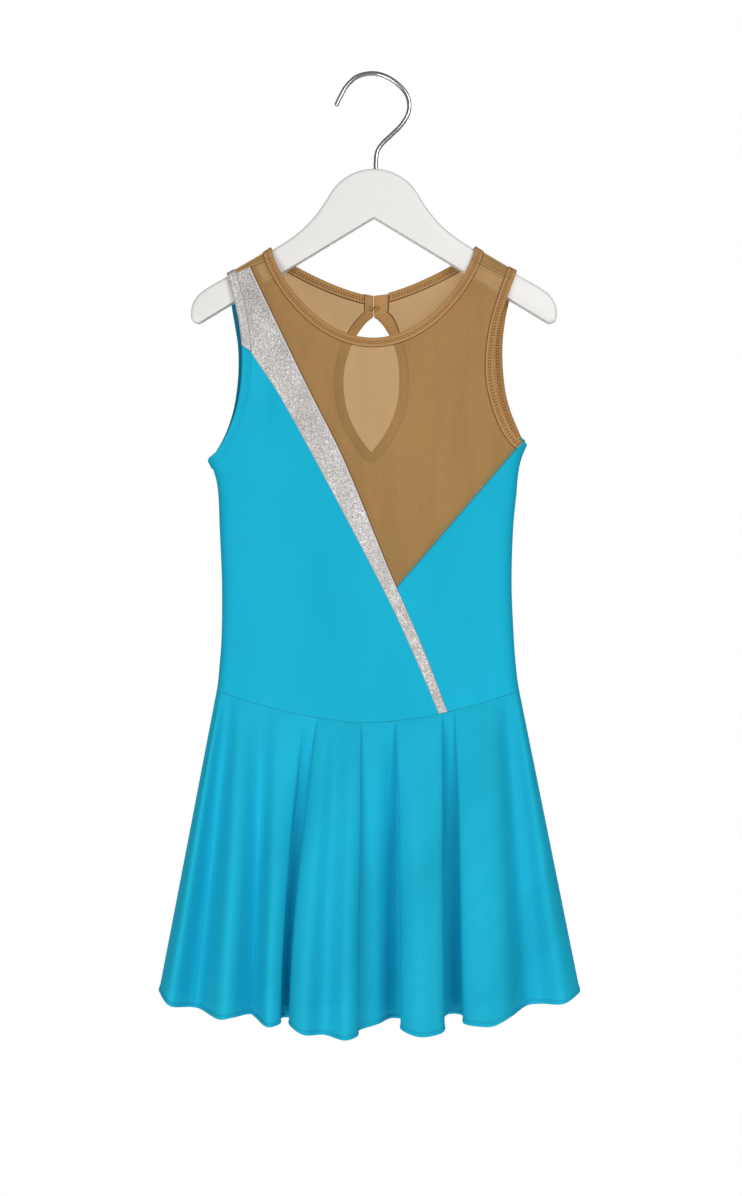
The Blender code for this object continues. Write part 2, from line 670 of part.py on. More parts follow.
def front_pieces():
    half_gap = SEAM_GAP / 2
    inner_left = inner_armhole("left", FRONT, SEAM_GAP)
    inner_right = inner_armhole("right", FRONT, SEAM_GAP)
    neck = offset(neck_edge(FRONT), -(BAND_WIDTH + SEAM_GAP))
    middle = NECK_MIDDLE
    neck_left = cut([p for p in neck if p[0] <= middle], below_shoulder_seam("left"))
    neck_right = cut([p for p in neck if p[0] >= middle], below_shoulder_seam("right"))

    # Yoke: down the silver band's right edge to the point, up its own seam, up the armhole and round the neck
    silver_right = band_edge("right", half_gap)
    beside_yoke = cut(silver_right, below_shoulder_seam("left"))
    beside_yoke = cut(beside_yoke, line_side(VEE, YOKE_SIDE, half_gap))
    yoke_armhole = cut(cut(inner_right, below_shoulder_seam("right")), line_side(VEE, YOKE_SIDE, half_gap))[::-1]
    panel("front_yoke", FRONT, [
        beside_yoke,
        straight(beside_yoke[-1], yoke_armhole[0]),
        yoke_armhole,
        straight(yoke_armhole[-1], neck_right[-1]),
        neck_right[::-1],
        neck_left[::-1],
        straight(neck_left[0], beside_yoke[0]),
    ], "tan_mesh")

    # Silver band: from the shoulder down the armhole, then down to the waist and back up
    silver_left = band_edge("left", -half_gap)
    silver_inner_right = cut(cut(band_edge("right", -half_gap), below_shoulder_seam("left")), above_waist(FRONT))
    tip = crossing(inner_left, silver_left)
    along_armhole = cut(cut(inner_left, below_shoulder_seam("left")), lambda p: p[1] - tip[1])
    down_left = cut(cut(silver_left, lambda p: tip[1] - p[1]), above_waist(FRONT))
    panel("front_silver_band", FRONT, [
        along_armhole,
        down_left,
        waist_seam(FRONT, down_left[-1][0], silver_inner_right[-1][0]),
        silver_inner_right[::-1],
        straight(silver_inner_right[0], along_armhole[0]),
    ], "silver")

    # Large turquoise panel
    blue_right = band_edge("left", half_gap)
    tip = crossing(inner_left, blue_right)
    armhole = cut(cut(inner_left, lambda p: tip[1] - p[1]), inside_side_seam("left"))
    beside_silver = cut(cut(blue_right, lambda p: tip[1] - p[1]), above_waist(FRONT))
    left_low = waist_height(FRONT, side_along("left", WAIST_SIDE)) + half_gap
    left = side_seam("left", armhole[-1][1], left_low)
    panel("front_main_panel", FRONT, [
        armhole,
        left,
        waist_seam(FRONT, left[-1][0], beside_silver[-1][0]),
        beside_silver[::-1],
    ], "turquoise")

    # Small turquoise panel under the yoke's point
    free = armhole_edge("right", FRONT)
    under_yoke = line_side(YOKE_SIDE, VEE, half_gap)
    corner = cut(cut(free, under_yoke), inside_side_seam("right"))
    beside = cut(cut(silver_right, under_yoke), above_waist(FRONT))
    right_low = waist_height(FRONT, side_along("right", WAIST_SIDE)) + half_gap
    right = side_seam("right", right_low, corner[-1][1])
    panel("front_side_panel", FRONT, [
        beside,
        waist_seam(FRONT, beside[-1][0], right[0][0]),
        right,
        corner[::-1],
        straight(corner[0], beside[0]),
    ], "turquoise")


def crossing(first, second):
    """Where two curves cross."""
    for a, b in zip(first, first[1:]):
        for c, d in zip(second, second[1:]):
            found = geometry.intersect_line_line_2d(Vector(a), Vector(b), Vector(c), Vector(d))
            if found:
                return tuple(found)
    return None


def keyhole_edge(which):
    """One side of the slit and the keyhole, from the neckline down to its point."""
    sign = 1 if which == "right" else -1
    neck_low = NECK_EDGES[BACK]["low"]
    slit = straight((SLIT_X + sign * SLIT_HALF, neck_low), (SLIT_X + sign * SLIT_HALF, KEYHOLE_TOP), 6)
    curve = []
    for k in range(1, 33):
        height = KEYHOLE_TOP + (KEYHOLE_LOW - KEYHOLE_TOP) * k / 32
        if height > KEYHOLE_WIDE_AT:
            u = (height - KEYHOLE_WIDE_AT) / (KEYHOLE_TOP - KEYHOLE_WIDE_AT)
            spread = (1 - u ** KEYHOLE_ABOVE[0]) ** KEYHOLE_ABOVE[1]
            lean = KEYHOLE_LEAN + (SLIT_X - KEYHOLE_LEAN) * u
        else:
            u = (KEYHOLE_WIDE_AT - height) / (KEYHOLE_WIDE_AT - KEYHOLE_LOW)
            spread = 1 - u**KEYHOLE_BELOW
            lean = KEYHOLE_LEAN
        curve.append((lean + sign * (SLIT_HALF + (KEYHOLE_HALF - SLIT_HALF) * spread), height))
    curve[-1] = (KEYHOLE_LEAN, KEYHOLE_LOW)
    return [*slit, *curve]


def keyhole_outer(which, gap=0.0):
    """The keyhole band's edge that meets the yoke, run up past the neckline and down to the middle."""
    sign = 1 if which == "right" else -1
    edge = keyhole_edge(which)
    edge = [(edge[0][0], edge[0][1] + BAND_WIDTH), *edge]
    moved = offset(edge, sign * (BAND_WIDTH + gap))
    point = (KEYHOLE_LEAN, KEYHOLE_LOW - (BAND_WIDTH + gap) * KEYHOLE_MITRE)
    return cut([*moved, point], lambda p: sign * (p[0] - KEYHOLE_LEAN) + 1e-9)


def back_pieces():
    half_gap = SEAM_GAP / 2
    inner_left = inner_armhole("left", BACK, SEAM_GAP)
    inner_right = inner_armhole("right", BACK, SEAM_GAP)
    neck = offset(neck_edge(BACK), -(BAND_WIDTH + SEAM_GAP))
    hole = {which: keyhole_outer(which, SEAM_GAP) for which in ("left", "right")}
    neck_left = cut([p for p in neck if p[0] <= 0], up_to_shoulder_seam("left"))
    neck_right = cut([p for p in neck if p[0] >= 0], up_to_shoulder_seam("right"))
    meet = {"left": crossing(neck_left, hole["left"]), "right": crossing(neck_right, hole["right"])}
    neck_left = cut(neck_left, lambda p: meet["left"][0] - p[0])
    neck_right = cut(neck_right, lambda p: p[0] - meet["right"][0])
    hole_left = cut(hole["left"], lambda p: meet["left"][1] - p[1])
    hole_right = cut(hole["right"], lambda p: meet["right"][1] - p[1])

    # Yoke, which comes over the ridge to the shoulder seams
    left_line = straight(BACK_SHOULDER, VEE, 40)
    tip = crossing(inner_left, left_line)
    strip = cut(cut(inner_left, up_to_shoulder_seam("left")), lambda p: p[1] - tip[1])
    yoke_left = straight(tip, VEE)
    above_seam = line_side(VEE, YOKE_SIDE, half_gap)
    yoke_left = cut(offset(yoke_left, half_gap), above_seam)
    yoke_armhole = cut(cut(inner_right, up_to_shoulder_seam("right")), above_seam)[::-1]
    panel("back_yoke", BACK, [
        strip,
        yoke_left[1:],
        straight(yoke_left[-1], yoke_armhole[0]),
        yoke_armhole,
        straight(yoke_armhole[-1], neck_right[-1], 12),
        neck_right[::-1],
        hole_right,
        hole_left[::-1],
        neck_left[::-1],
        straight(neck_left[0], strip[0], 12),
    ], "tan_mesh")

    # Turquoise panel below it, with a narrow point up to the left shoulder
    free = armhole_edge("right", BACK)
    under_seam = line_side(YOKE_SIDE, VEE, half_gap)
    corner = cut(cut(free, under_seam), inside_side_seam("right"))
    left_edge = offset(straight(tip, VEE), -half_gap)
    armhole = cut(cut(inner_left, lambda p: tip[1] - BLUNT_TIP - p[1]), inside_side_seam("left"))
    low_left = waist_height(BACK, side_along("left", WAIST_SIDE)) + half_gap
    low_right = waist_height(BACK, side_along("right", WAIST_SIDE)) + half_gap
    left = side_seam("left", armhole[-1][1], low_left)
    right = side_seam("right", low_right, corner[-1][1])
    panel("back_panel", BACK, [
        armhole,
        left,
        waist_seam(BACK, left[-1][0], right[0][0]),
        right,
        corner[::-1],
        straight(corner[0], (VEE[0], VEE[1] - POINT_MITRE * half_gap)),
        left_edge[-2:0:-1],
    ], "turquoise")


def bands():
    """The folded bands round the neckline, the keyhole and the armholes."""
    # Neckline
    free = neck_edge(FRONT)
    sewn = offset(free, -BAND_WIDTH)
    for keep in (below_shoulder_seam("left"), below_shoulder_seam("right")):
        free, sewn = cut(free, keep), cut(sewn, keep)
    band("neck_band_front", FRONT, free, sewn, "tan_mesh")
    for which in ("left", "right"):
        sign = 1 if which == "right" else -1
        whole = neck_edge(BACK)
        halves = []
        for curve, gap in ((whole, SEAM_GAP), (offset(whole, -BAND_WIDTH), SEAM_GAP)):
            half = [p for p in curve if sign * p[0] >= 0]
            half = cut(half, up_to_shoulder_seam(which))
            halves.append(cut(half, lambda p: sign * (p[0] - SLIT_X) - SLIT_HALF - BAND_WIDTH - gap))
        band(f"neck_band_back_{which}", BACK, *halves, "tan_mesh")

    # Slit and keyhole, in one strip
    left_free, right_free = keyhole_edge("left"), keyhole_edge("right")
    left_sewn, right_sewn = keyhole_outer("left"), keyhole_outer("right")
    neck_low = NECK_EDGES[BACK]["low"]
    left_sewn, right_sewn = (cut(c, lambda p: neck_low + KEYHOLE_BAND_UP - p[1]) for c in (left_sewn, right_sewn))
    free, sewn = [*left_free, *right_free[::-1][1:]], [*left_sewn, *right_sewn[::-1][1:]]
    band("keyhole_band", BACK, free, sewn, "tan_mesh")

    # Armholes
    half_gap = SEAM_GAP / 2
    silver_left = band_edge("left")
    curves = {}
    for which in ("left", "right"):
        for side in (FRONT, BACK):
            curves[which, side] = (armhole_edge(which, side), inner_armhole(which, side))
    free, sewn = curves["left", FRONT]
    tip_sewn = crossing(sewn, silver_left)[1]
    tip_free = tip_sewn + SILVER_SLANT

    def before_end(p):
        return flat_ridge(p[0]) + SILVER_OVER - half_gap - p[1]

    top_free = cut(cut(free, before_end), lambda p: p[1] - tip_free - half_gap)
    top_sewn = cut(cut(sewn, before_end), lambda p: p[1] - tip_sewn - half_gap)
    band("armhole_band_silver", FRONT, top_free, top_sewn, "silver")
    keep = inside_side_seam("left")
    low_free = cut(cut(free, keep), lambda p: tip_free - half_gap - p[1])
    low_sewn = cut(cut(sewn, keep), lambda p: tip_sewn - half_gap - p[1])
    band("armhole_band_blue_front", FRONT, low_free, low_sewn, "turquoise")

    def behind_silver(p):
        return flat_ridge(p[0]) - SILVER_OVER - half_gap - p[1]

    free, sewn = (cut(cut(curve, behind_silver), keep) for curve in curves["left", BACK])
    band("armhole_band_blue_back", BACK, free, sewn, "turquoise")
    above_seam = line_side(VEE, YOKE_SIDE, half_gap)
    for side, name in ((FRONT, "front"), (BACK, "back")):
        top = below_shoulder_seam("right") if side == FRONT else up_to_shoulder_seam("right")
        free, sewn = (cut(cut(curve, top), above_seam) for curve in curves["right", side])
        band(f"armhole_band_tan_{name}", side, free, sewn, "tan_mesh")


def hem_curve(folds):
    """The hem in plan and the places it hangs from, a few points for each fold's flank."""
    found = []
    for k, (here, there) in enumerate(zip(folds, folds[1:])):
        at_side = k in (0, len(folds) - 2)
        for step in range(COLUMNS_PER_FLANK):
            t = step / COLUMNS_PER_FLANK
            if at_side:
                turn = t if k == 0 else 1 - t
                depth = math.sin(math.pi / 2 * turn) * max(here[2], there[2])
                share = 1 - math.cos(math.pi / 2 * turn)
                share = share if k == 0 else 1 - share
            else:
                depth = here[2] + (there[2] - here[2]) * ease(t)
                share = t + FLANK * math.sin(2 * math.pi * t)
            found.append((k + t, here[1] + (there[1] - here[1]) * share, depth,
                          here[3] + (there[3] - here[3]) * ease(t)))
    last = folds[-1]
    return [*found, (len(folds) - 1.0, last[1], last[2], last[3])]


def skirt(name, side, folds):
    """A skirt half: straight lines from the waist seam to the folded hem."""
    edge = SEAM_GAP / 2
    start = side_along("left", WAIST_SIDE) + edge
    end = side_along("right", WAIST_SIDE) - edge
    places = [start, *(row[0] for row in folds[1:-1]), end]
    hem = hem_curve(folds)
    rows = []
    shares = [(k / (SKIRT_ROWS - 1)) ** SKIRT_SPREAD for k in range(SKIRT_ROWS)]
    length = abs(WAIST_SIDE - HEM_SIDE)
    hem_share = ROLLED_HEM_HEIGHT / length
    shares = [*shares[:-1], 1 - HEM_TAPER * hem_share, 1 - hem_share, 1.0]
    for share in shares:
        row = []
        for place, x, depth, low in hem:
            k = min(int(place), len(places) - 2)
            along = places[k] + (places[k + 1] - places[k]) * (place - k)
            top = cloth_point(side, along, waist_height(side, along) - edge)
            bottom = Vector((x, side * depth, low))
            if place in (0, len(places) - 1):
                bottom.y = side * edge
            row.append(top.lerp(bottom, share))
        rows.append(row)
    columns = len(hem)
    points = [p for row in rows for p in row]
    normals, faces = [], []
    for r, row in enumerate(rows):
        for c in range(columns):
            across = row[min(c + 1, columns - 1)] - row[max(c - 1, 0)]
            if c in (0, columns - 1):
                across = Vector((0.0, side if c == 0 else -side, 0.0))
            down = rows[-1][c] - rows[0][c]
            normals.append(across.cross(down).normalized() * side)
            if r and c:
                a, b = (r - 1) * columns + c, r * columns + c
                halves = ((a - 1, b - 1, b), (a - 1, b, a))
                faces += halves if side == FRONT else [half[::-1] for half in halves]
    thick = []
    for r in range(len(rows)):
        thick += [CLOTH_HALF if r < len(rows) - 2 else ROLLED_HEM_HALF] * columns
    return wall(name, points, normals, faces, thick, thick, "turquoise")


def bezier(a, pull_a, pull_b, b, count):
    a, b = Vector(a), Vector(b)
    control = (a, a + Vector(pull_a), b + Vector(pull_b), b)
    return [tuple(p) for p in geometry.interpolate_bezier(*(c.to_3d() for c in control), count)]


def hanger_board():
    """Flat wooden board: round head, sloping arms with rounded tips, a notch below."""
    head = []
    for k in range(9):
        angle = HEAD_ARC_TO * k / 8
        head.append((HEAD_RADIUS * math.sin(angle), HEAD_TOP - HEAD_RADIUS * (1 - math.cos(angle))))
    down = Vector((1.0, -ARM_SLOPE)).normalized()
    leave = Vector((math.cos(HEAD_ARC_TO), -math.sin(HEAD_ARC_TO))) * SWEEP_PULL
    arm_start = (ARM_FROM, ARM_LINE_TOP - ARM_SLOPE * ARM_FROM)
    arm_end = (ARM_TO, ARM_LINE_TOP - ARM_SLOPE * ARM_TO)
    sweep = bezier(head[-1], leave, -down * SWEEP_PULL, arm_start, 9)
    tip = bezier(arm_end, down * TIP_PULL, (0.0, TIP_PULL), (TIP_OUT, TIP_LOW), 7)
    corner = bezier((TIP_OUT, TIP_LOW), (0.0, -0.006), (0.004, 0.001), TIP_CORNER, 5)
    half = [*head, *(p[:2] for p in sweep[1:]), *(p[:2] for p in tip), *(p[:2] for p in corner[1:])]
    outline = [*half, (0.0, NOTCH_TOP), *((-x, z) for x, z in half[:0:-1])]
    build = bmesh.new()
    face = build.faces.new([build.verts.new((x, -BOARD_HALF, z)) for x, z in outline])
    grown = bmesh.ops.extrude_face_region(build, geom=[face])
    moved = [g for g in grown["geom"] if isinstance(g, bmesh.types.BMVert)]
    bmesh.ops.translate(build, verts=moved, vec=(0.0, 2 * BOARD_HALF, 0.0))
    board = finished("hanger_board", build, "white_wood")
    rounding = board.modifiers.new("Rounded edges", "BEVEL")
    rounding.width = BOARD_ROUND
    rounding.segments = 2
    rounding.limit_method = "ANGLE"
    rounding.angle_limit = math.radians(60)
    drill = bpy.data.meshes.new("shank_hole")
    build = bmesh.new()
    bmesh.ops.create_cone(build, cap_ends=True, segments=16, radius1=WIRE_RADIUS + SHANK_CLEAR,
                          radius2=WIRE_RADIUS + SHANK_CLEAR, depth=2 * (SHANK_DEPTH + SHANK_CLEAR))
    build.to_mesh(drill)
    build.free()
    cutter = bpy.data.objects.new("shank_hole", drill)
    bpy.context.scene.collection.objects.link(cutter)
    cutter.location = (SHANK_X, 0.0, HEAD_TOP)
    cutter.hide_render = True
    cutter.display_type = "WIRE"
    hole = board.modifiers.new("Hole for the hook", "BOOLEAN")
    hole.object = cutter
    return board


# Hook, from the board up and round to its tip: the wire's middle, in the board's plane
HOOK_ROUTE = (
    (SHANK_X, HEAD_TOP - SHANK_DEPTH), (SHANK_X, -0.0800), (SHANK_X, -0.0700),
    (0.0029, -0.0617), (0.0074, -0.0551), (0.0148, -0.0481),
    (0.0221, -0.0408), (0.0275, -0.0321), (0.0290, -0.0239), (0.0271, -0.0160), (0.0218, -0.0090),
    (0.0122, -0.0018), (0.0000, 0.0019), (-0.0132, -0.0005), (-0.0222, -0.0082), (-0.0274, -0.0169),
    (-0.0312, -0.0248),
)


def through(points, steps):
    """A smooth curve through the points."""
    points = [Vector(p) for p in points]
    points = [2 * points[0] - points[1], *points, 2 * points[-1] - points[-2]]
    found = []
    for a, b, c, d in zip(points, points[1:], points[2:], points[3:]):
        for k in range(steps):
            t = k / steps
            found.append(0.5 * (2 * b + (c - a) * t + (2 * a - 5 * b + 4 * c - d) * t**2
                                + (3 * b - a - 3 * c + d) * t**3))
    return [*found, points[-2]]


def wire(name, route, radius, finish, resolution):
    """A bent wire along the route."""
    data = bpy.data.curves.new(name, "CURVE")
    data.dimensions = "3D"
    data.bevel_depth = radius
    data.bevel_resolution = resolution
    data.use_fill_caps = True
    line = data.splines.new("POLY")
    line.points.add(len(route) - 1)
    for point, place in zip(line.points, route):
        point.co = (*place, 1.0)
    return add_object(name, data, finish)


def closure():
    """Two small loops of wire, each sewn inside one end of the neck edge."""
    deep = -(CLOTH_HALF + SEAM_GAP + CLOSURE_WIRE)
    for name, size in (("closure_eye", EYE), ("closure_hook", CATCH)):
        start, end, half = size["from"], size["to"], size["half_height"]
        route = []
        for share, height in LOOP:
            place = (start + (end - start) * share, CLOSURE_HEIGHT + half * height)
            route.append(cloth_point(BACK, *place) + cloth_normal(BACK, *place) * deep)
        wire(name, through(route, 2), CLOSURE_WIRE, "chrome", 1)


def main():
    for old in list(bpy.data.objects):
        bpy.data.objects.remove(old)
    front_pieces()
    back_pieces()
    bands()
    skirt("skirt_front", FRONT, FRONT_FOLDS)
    skirt("skirt_back", BACK, BACK_FOLDS)
    hanger_board()
    hook = through([(x, 0.0, z) for x, z in HOOK_ROUTE], 3)
    wire("hanger_hook", hook, WIRE_RADIUS, "chrome", 2)
    closure()


main()
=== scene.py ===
# Sleeveless figure skating dress with a sheer yoke, on a child's flat wooden hanger.
# Metres, +Z up. The front faces -Y and the origin is the inside top of the hook.
# Left and right are as seen from the front.

import collections
import math

import bmesh
import bpy
from mathutils import Matrix, Vector, geometry, noise


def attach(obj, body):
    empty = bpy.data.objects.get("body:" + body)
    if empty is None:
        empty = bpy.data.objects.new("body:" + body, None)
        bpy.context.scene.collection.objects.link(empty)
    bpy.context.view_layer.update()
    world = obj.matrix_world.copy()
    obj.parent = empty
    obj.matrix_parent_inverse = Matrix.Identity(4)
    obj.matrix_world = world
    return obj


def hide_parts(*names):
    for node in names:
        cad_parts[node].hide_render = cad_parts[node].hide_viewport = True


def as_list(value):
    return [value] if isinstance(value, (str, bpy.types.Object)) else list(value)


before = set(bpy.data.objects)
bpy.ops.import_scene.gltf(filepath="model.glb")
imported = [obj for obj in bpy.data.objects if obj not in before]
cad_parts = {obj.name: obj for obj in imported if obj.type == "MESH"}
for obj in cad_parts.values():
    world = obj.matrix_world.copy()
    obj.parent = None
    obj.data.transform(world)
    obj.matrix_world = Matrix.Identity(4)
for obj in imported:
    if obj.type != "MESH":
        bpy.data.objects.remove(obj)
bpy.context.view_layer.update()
print("frame loaded:", len(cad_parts), "solids")

mm = 0.001
front, back = -1, 1
signs = {"left": -1, "right": 1}

# The cloth's cut, as the solids have it
cloth = {
    "wallHalf": 0.6 * mm,
    "bandWidth": 7.5 * mm,
    "bandOut": 1.6 * mm,       # how far a folded band stands out of the cloth's middle
    "gridStep": 5.0 * mm,      # the fine grid of a panel
    "edgeStep": 2.5 * mm,
    "ridgeRow": 1.1 * mm,      # rows along the shoulder's ridge, 6 on each side of it
    "ridgeRows": 6,
    "ridgeReach": 14 * mm,
    "tooClose": 0.4 * mm,      # points of an outline are no closer than this
}

hanging = {
    "armLineTop": -94.4 * mm,  # where the line of the arms' top edge crosses the middle
    "armSlope": 0.588,
    "ridgeLift": 1.5 * mm,
    "ridgeRadius": 3.5 * mm,
    "boardClear": 7.4 * mm,
    "fallAway": 70 * mm,       # the cloth leaves the board over this length
    "sideRadius": 8 * mm,
    "crown": {front: 9 * mm, back: 7 * mm},
}

# height, left side, right side
bodySections = (
    (-0.56, -0.1365, 0.127), (-0.53, -0.1335, 0.124), (-0.502, -0.128, 0.1181), (-0.4815, -0.1259, 0.1156),
    (-0.459, -0.1244, 0.114), (-0.417, -0.1241, 0.1123), (-0.372, -0.1259, 0.1135),
    (-0.341, -0.1273, 0.1164), (-0.3265, -0.1301, 0.1177), (-0.315, -0.1351, 0.12),
    (-0.3036, -0.14, 0.1246), (-0.285, -0.146, 0.136), (-0.25, -0.152, 0.148), (-0.14, -0.155, 0.152),
)

# height, distance from the middle
armholes = {
    ("left", front): (
        (-0.1500, -0.1245), (-0.1627, -0.1204), (-0.1934, -0.1121), (-0.2194, -0.1078), (-0.2368, -0.1072),
        (-0.2555, -0.1084), (-0.2730, -0.1115), (-0.2891, -0.1171), (-0.3028, -0.1240), (-0.3110, -0.1300),
    ),
    ("left", back): (
        (-0.1500, -0.1216), (-0.1627, -0.1204), (-0.1861, -0.1178), (-0.2034, -0.1149), (-0.2208, -0.1124),
        (-0.2398, -0.1121), (-0.2563, -0.1134), (-0.2741, -0.1165), (-0.2919, -0.1223), (-0.3050, -0.1290),
        (-0.3110, -0.1330),
    ),
    ("right", front): (
        (-0.1500, 0.1206), (-0.1601, 0.1170), (-0.1834, 0.1085), (-0.2020, 0.1024), (-0.2181, 0.0993),
        (-0.2343, 0.0977), (-0.2493, 0.0980), (-0.2630, 0.1005), (-0.2766, 0.1048), (-0.2904, 0.1111),
        (-0.2995, 0.1180),
    ),
    ("right", back): (
        (-0.1500, 0.1190), (-0.1601, 0.1170), (-0.1855, 0.1111), (-0.1982, 0.1085), (-0.2146, 0.1066),
        (-0.2310, 0.1063), (-0.2463, 0.1073), (-0.2602, 0.1092), (-0.2741, 0.1130), (-0.2867, 0.1180),
        (-0.2975, 0.1225),
    ),
}
underarm = {"left": -0.3155, "right": -0.3035}

neckline = {
    "middle": -0.8 * mm,
    "half": 82.8 * mm,
    "top": -143.5 * mm,
    front: {"low": -0.2176, "wide": 2.0, "deep": 0.77},
    back: {"low": -0.1777, "wide": 1.35, "deep": 0.95},
}

seams = {
    "vee": (0.0180, -0.4200),
    "yokeSide": (0.1222, -0.2991),
    "backShoulder": (-0.1160, -0.1650),
    "shoulder": {"left": (4 * mm, 11 * mm), "right": (10.5 * mm, 14 * mm)},
    "shoulderOut": 121.4 * mm, # the shoulder seams slope from the neck to here
    "silverOver": 3 * mm,
    "carried": 25 * mm,        # an edge is carried on this far past the ridge
    "waistSide": -0.5035,
    "waistDip": {front: 25.5 * mm, back: 12 * mm},
    "waistPower": 1.7,
}

# height, left edge, right edge
silverEdges = (
    (-0.14, -0.152, -0.1095), (-0.1614, -0.139, -0.0999), (-0.187, -0.1225, -0.088),
    (-0.2275, -0.1002, -0.0685), (-0.2599, -0.0788, -0.0528), (-0.3084, -0.0516, -0.0283),
    (-0.3517, -0.0285, -0.0098), (-0.4052, -0.0004, 0.0117), (-0.4403, 0.0171, 0.0274),
    (-0.4789, 0.0346, 0.0437), (-0.5225, 0.0531, 0.0604), (-0.56, 0.069, 0.076),
)

keyhole = {
    "slitX": -0.2 * mm,
    "slitHalf": 0.15 * mm,
    "top": -195.5 * mm,
    "low": -307.2 * mm,
    "wideAt": -247 * mm,
    "half": 23.2 * mm,
    "lean": -2.2 * mm,
    "tabMore": 4.6 * mm,       # the right side of the slit is this much wider
    "tabLow": -216 * mm,
    "tabHigh": -190 * mm,
}


# The cloth as one surface: a point on it is (along, height)

def ease(share):
    share = min(max(share, 0.0), 1.0)
    return share * share * (3.0 - 2.0 * share)


def smoothRow(rows, height):
    rows = sorted(rows)
    height = min(max(height, rows[0][0]), rows[-1][0])
    place = max(i for i in range(len(rows) - 1) if rows[i][0] <= height)
    before, low, high, after = (rows[min(max(place + k, 0), len(rows) - 1)] for k in (-1, 0, 1, 2))
    span = high[0] - low[0]
    t = (height - low[0]) / span
    found = []
    for a, b, c, d in zip(before[1:], low[1:], high[1:], after[1:]):
        start = (c - a) / max(high[0] - before[0], span) * span
        end = (d - b) / max(after[0] - low[0], span) * span
        found.append(
            (2 * t**3 - 3 * t**2 + 1) * b + (t**3 - 2 * t**2 + t) * start
            + (3 * t**2 - 2 * t**3) * c + (t**3 - t**2) * end
        )
    return found


def ridgeHeight(along):
    return hanging["armLineTop"] - hanging["armSlope"] * abs(along) + hanging["ridgeLift"]


def flatRidge(along):
    # the ridge if the turn over the board were unrolled straight up
    return ridgeHeight(along) + (math.pi / 2 - 1) * hanging["ridgeRadius"]


def bodyAt(height):
    left, right = smoothRow(bodySections, height)
    return (left + right) / 2, (right - left) / 2


def sideAlong(which, height):
    middle, half = bodyAt(height)
    radius = hanging["sideRadius"]
    return middle + signs[which] * (half - radius + radius * math.pi / 2)


def alongOf(x, height):
    middle, half = bodyAt(height)
    radius = hanging["sideRadius"]
    past = abs(x - middle) - (half - radius)
    if past <= 0:
        return x
    turned = radius * math.asin(min(past / radius, 1.0))
    return middle + math.copysign(half - radius + turned, x - middle)


def clothPoint(side, along, height):
    over = height - flatRidge(along)
    if over > 0:                 # past the ridge a piece goes on down the other side
        side, height = -side, height - 2 * over
    drop = abs(over)
    middle, half = bodyAt(height)
    radius = hanging["sideRadius"]
    flat = half - radius
    angle = min(max(abs(along - middle) - flat, 0.0) / radius, math.pi / 2)
    reach = min(abs(along - middle), flat) + radius * math.sin(angle)
    x = middle + math.copysign(reach, along - middle)
    depth = radius * math.cos(angle) + hanging["crown"][side] * (1 - (reach / half) ** 2)
    clear = hanging["boardClear"]
    depth = clear + (depth - clear) * ease(drop / hanging["fallAway"])
    turn = drop / hanging["ridgeRadius"]
    if turn < math.pi / 2:
        lowered = hanging["ridgeRadius"] * (1 - math.cos(turn))
        return Vector((x, side * depth * math.sin(turn), ridgeHeight(along) - lowered))
    return Vector((x, side * depth, height))


def clothNormal(side, along, height):
    step = 0.1 * mm
    across = clothPoint(side, along + step, height) - clothPoint(side, along - step, height)
    up = clothPoint(side, along, height + step) - clothPoint(side, along, height - step)
    return across.cross(up).normalized() * -side


# Curves in the cloth

def measured(curve):
    lengths = [0.0]
    for a, b in zip(curve, curve[1:]):
        lengths.append(lengths[-1] + math.dist(a, b))
    return lengths


def atShares(curve, shares):
    lengths = measured(curve)
    found, place = [], 0
    for share in shares:
        wanted = lengths[-1] * share
        while place < len(curve) - 2 and lengths[place + 1] < wanted:
            place += 1
        part = (wanted - lengths[place]) / max(lengths[place + 1] - lengths[place], 1e-12)
        a, b = curve[place], curve[place + 1]
        found.append(tuple(p + (q - p) * part for p, q in zip(a, b)))
    return found


def evenly(curve, step):
    count = max(round(measured(curve)[-1] / step), 1)
    return atShares(curve, [k / count for k in range(count + 1)])


def offsetCurve(curve, distance):
    moved = []
    for i, point in enumerate(curve):
        way = Vector(curve[min(i + 1, len(curve) - 1)]) - Vector(curve[max(i - 1, 0)])
        left = Vector((-way.y, way.x)).normalized()
        moved.append((point[0] + left.x * distance, point[1] + left.y * distance))
    return moved


def cutCurve(curve, *keeps):
    # keeps the part of the curve where each of the functions is above nothing
    for keep in keeps:
        kept = []
        for a, b in zip(curve, curve[1:]):
            fa, fb = keep(a), keep(b)
            if fa > 0 and not kept:
                kept.append(a)
            if (fa > 0) != (fb > 0):
                share = fa / (fa - fb)
                kept.append((a[0] + (b[0] - a[0]) * share, a[1] + (b[1] - a[1]) * share))
            if fb > 0:
                kept.append(b)
        curve = kept
    return curve


def above(level):
    return lambda p: p[1] - level


def under(level):
    return lambda p: level - p[1]


def crossing(first, second):
    for a, b in zip(first, first[1:]):
        for c, d in zip(second, second[1:]):
            found = geometry.intersect_line_line_2d(Vector(a), Vector(b), Vector(c), Vector(d))
            if found:
                return tuple(found)
    return None


def straight(a, b, count=24):
    return [(a[0] + (b[0] - a[0]) * k / count, a[1] + (b[1] - a[1]) * k / count) for k in range(count + 1)]


def continued(own, other):
    # the edge below the ridge, and above it the other side's edge as it looks from here
    def belowRidge(p):
        return flatRidge(p[0]) - p[1]

    own = cutCurve(own, belowRidge)
    other = cutCurve(other, belowRidge, lambda p: seams["carried"] - belowRidge(p))
    over = [(p[0], 2 * flatRidge(p[0]) - p[1]) for p in reversed(other)]
    joined = evenly([*over, *own], 1.5 * mm)
    for _ in range(5):
        triples = zip(joined, joined[1:-1], joined[2:])
        joined[1:-1] = [((a[0] + 2 * b[0] + c[0]) / 4, (a[1] + 2 * b[1] + c[1]) / 4) for a, b, c in triples]
    return joined


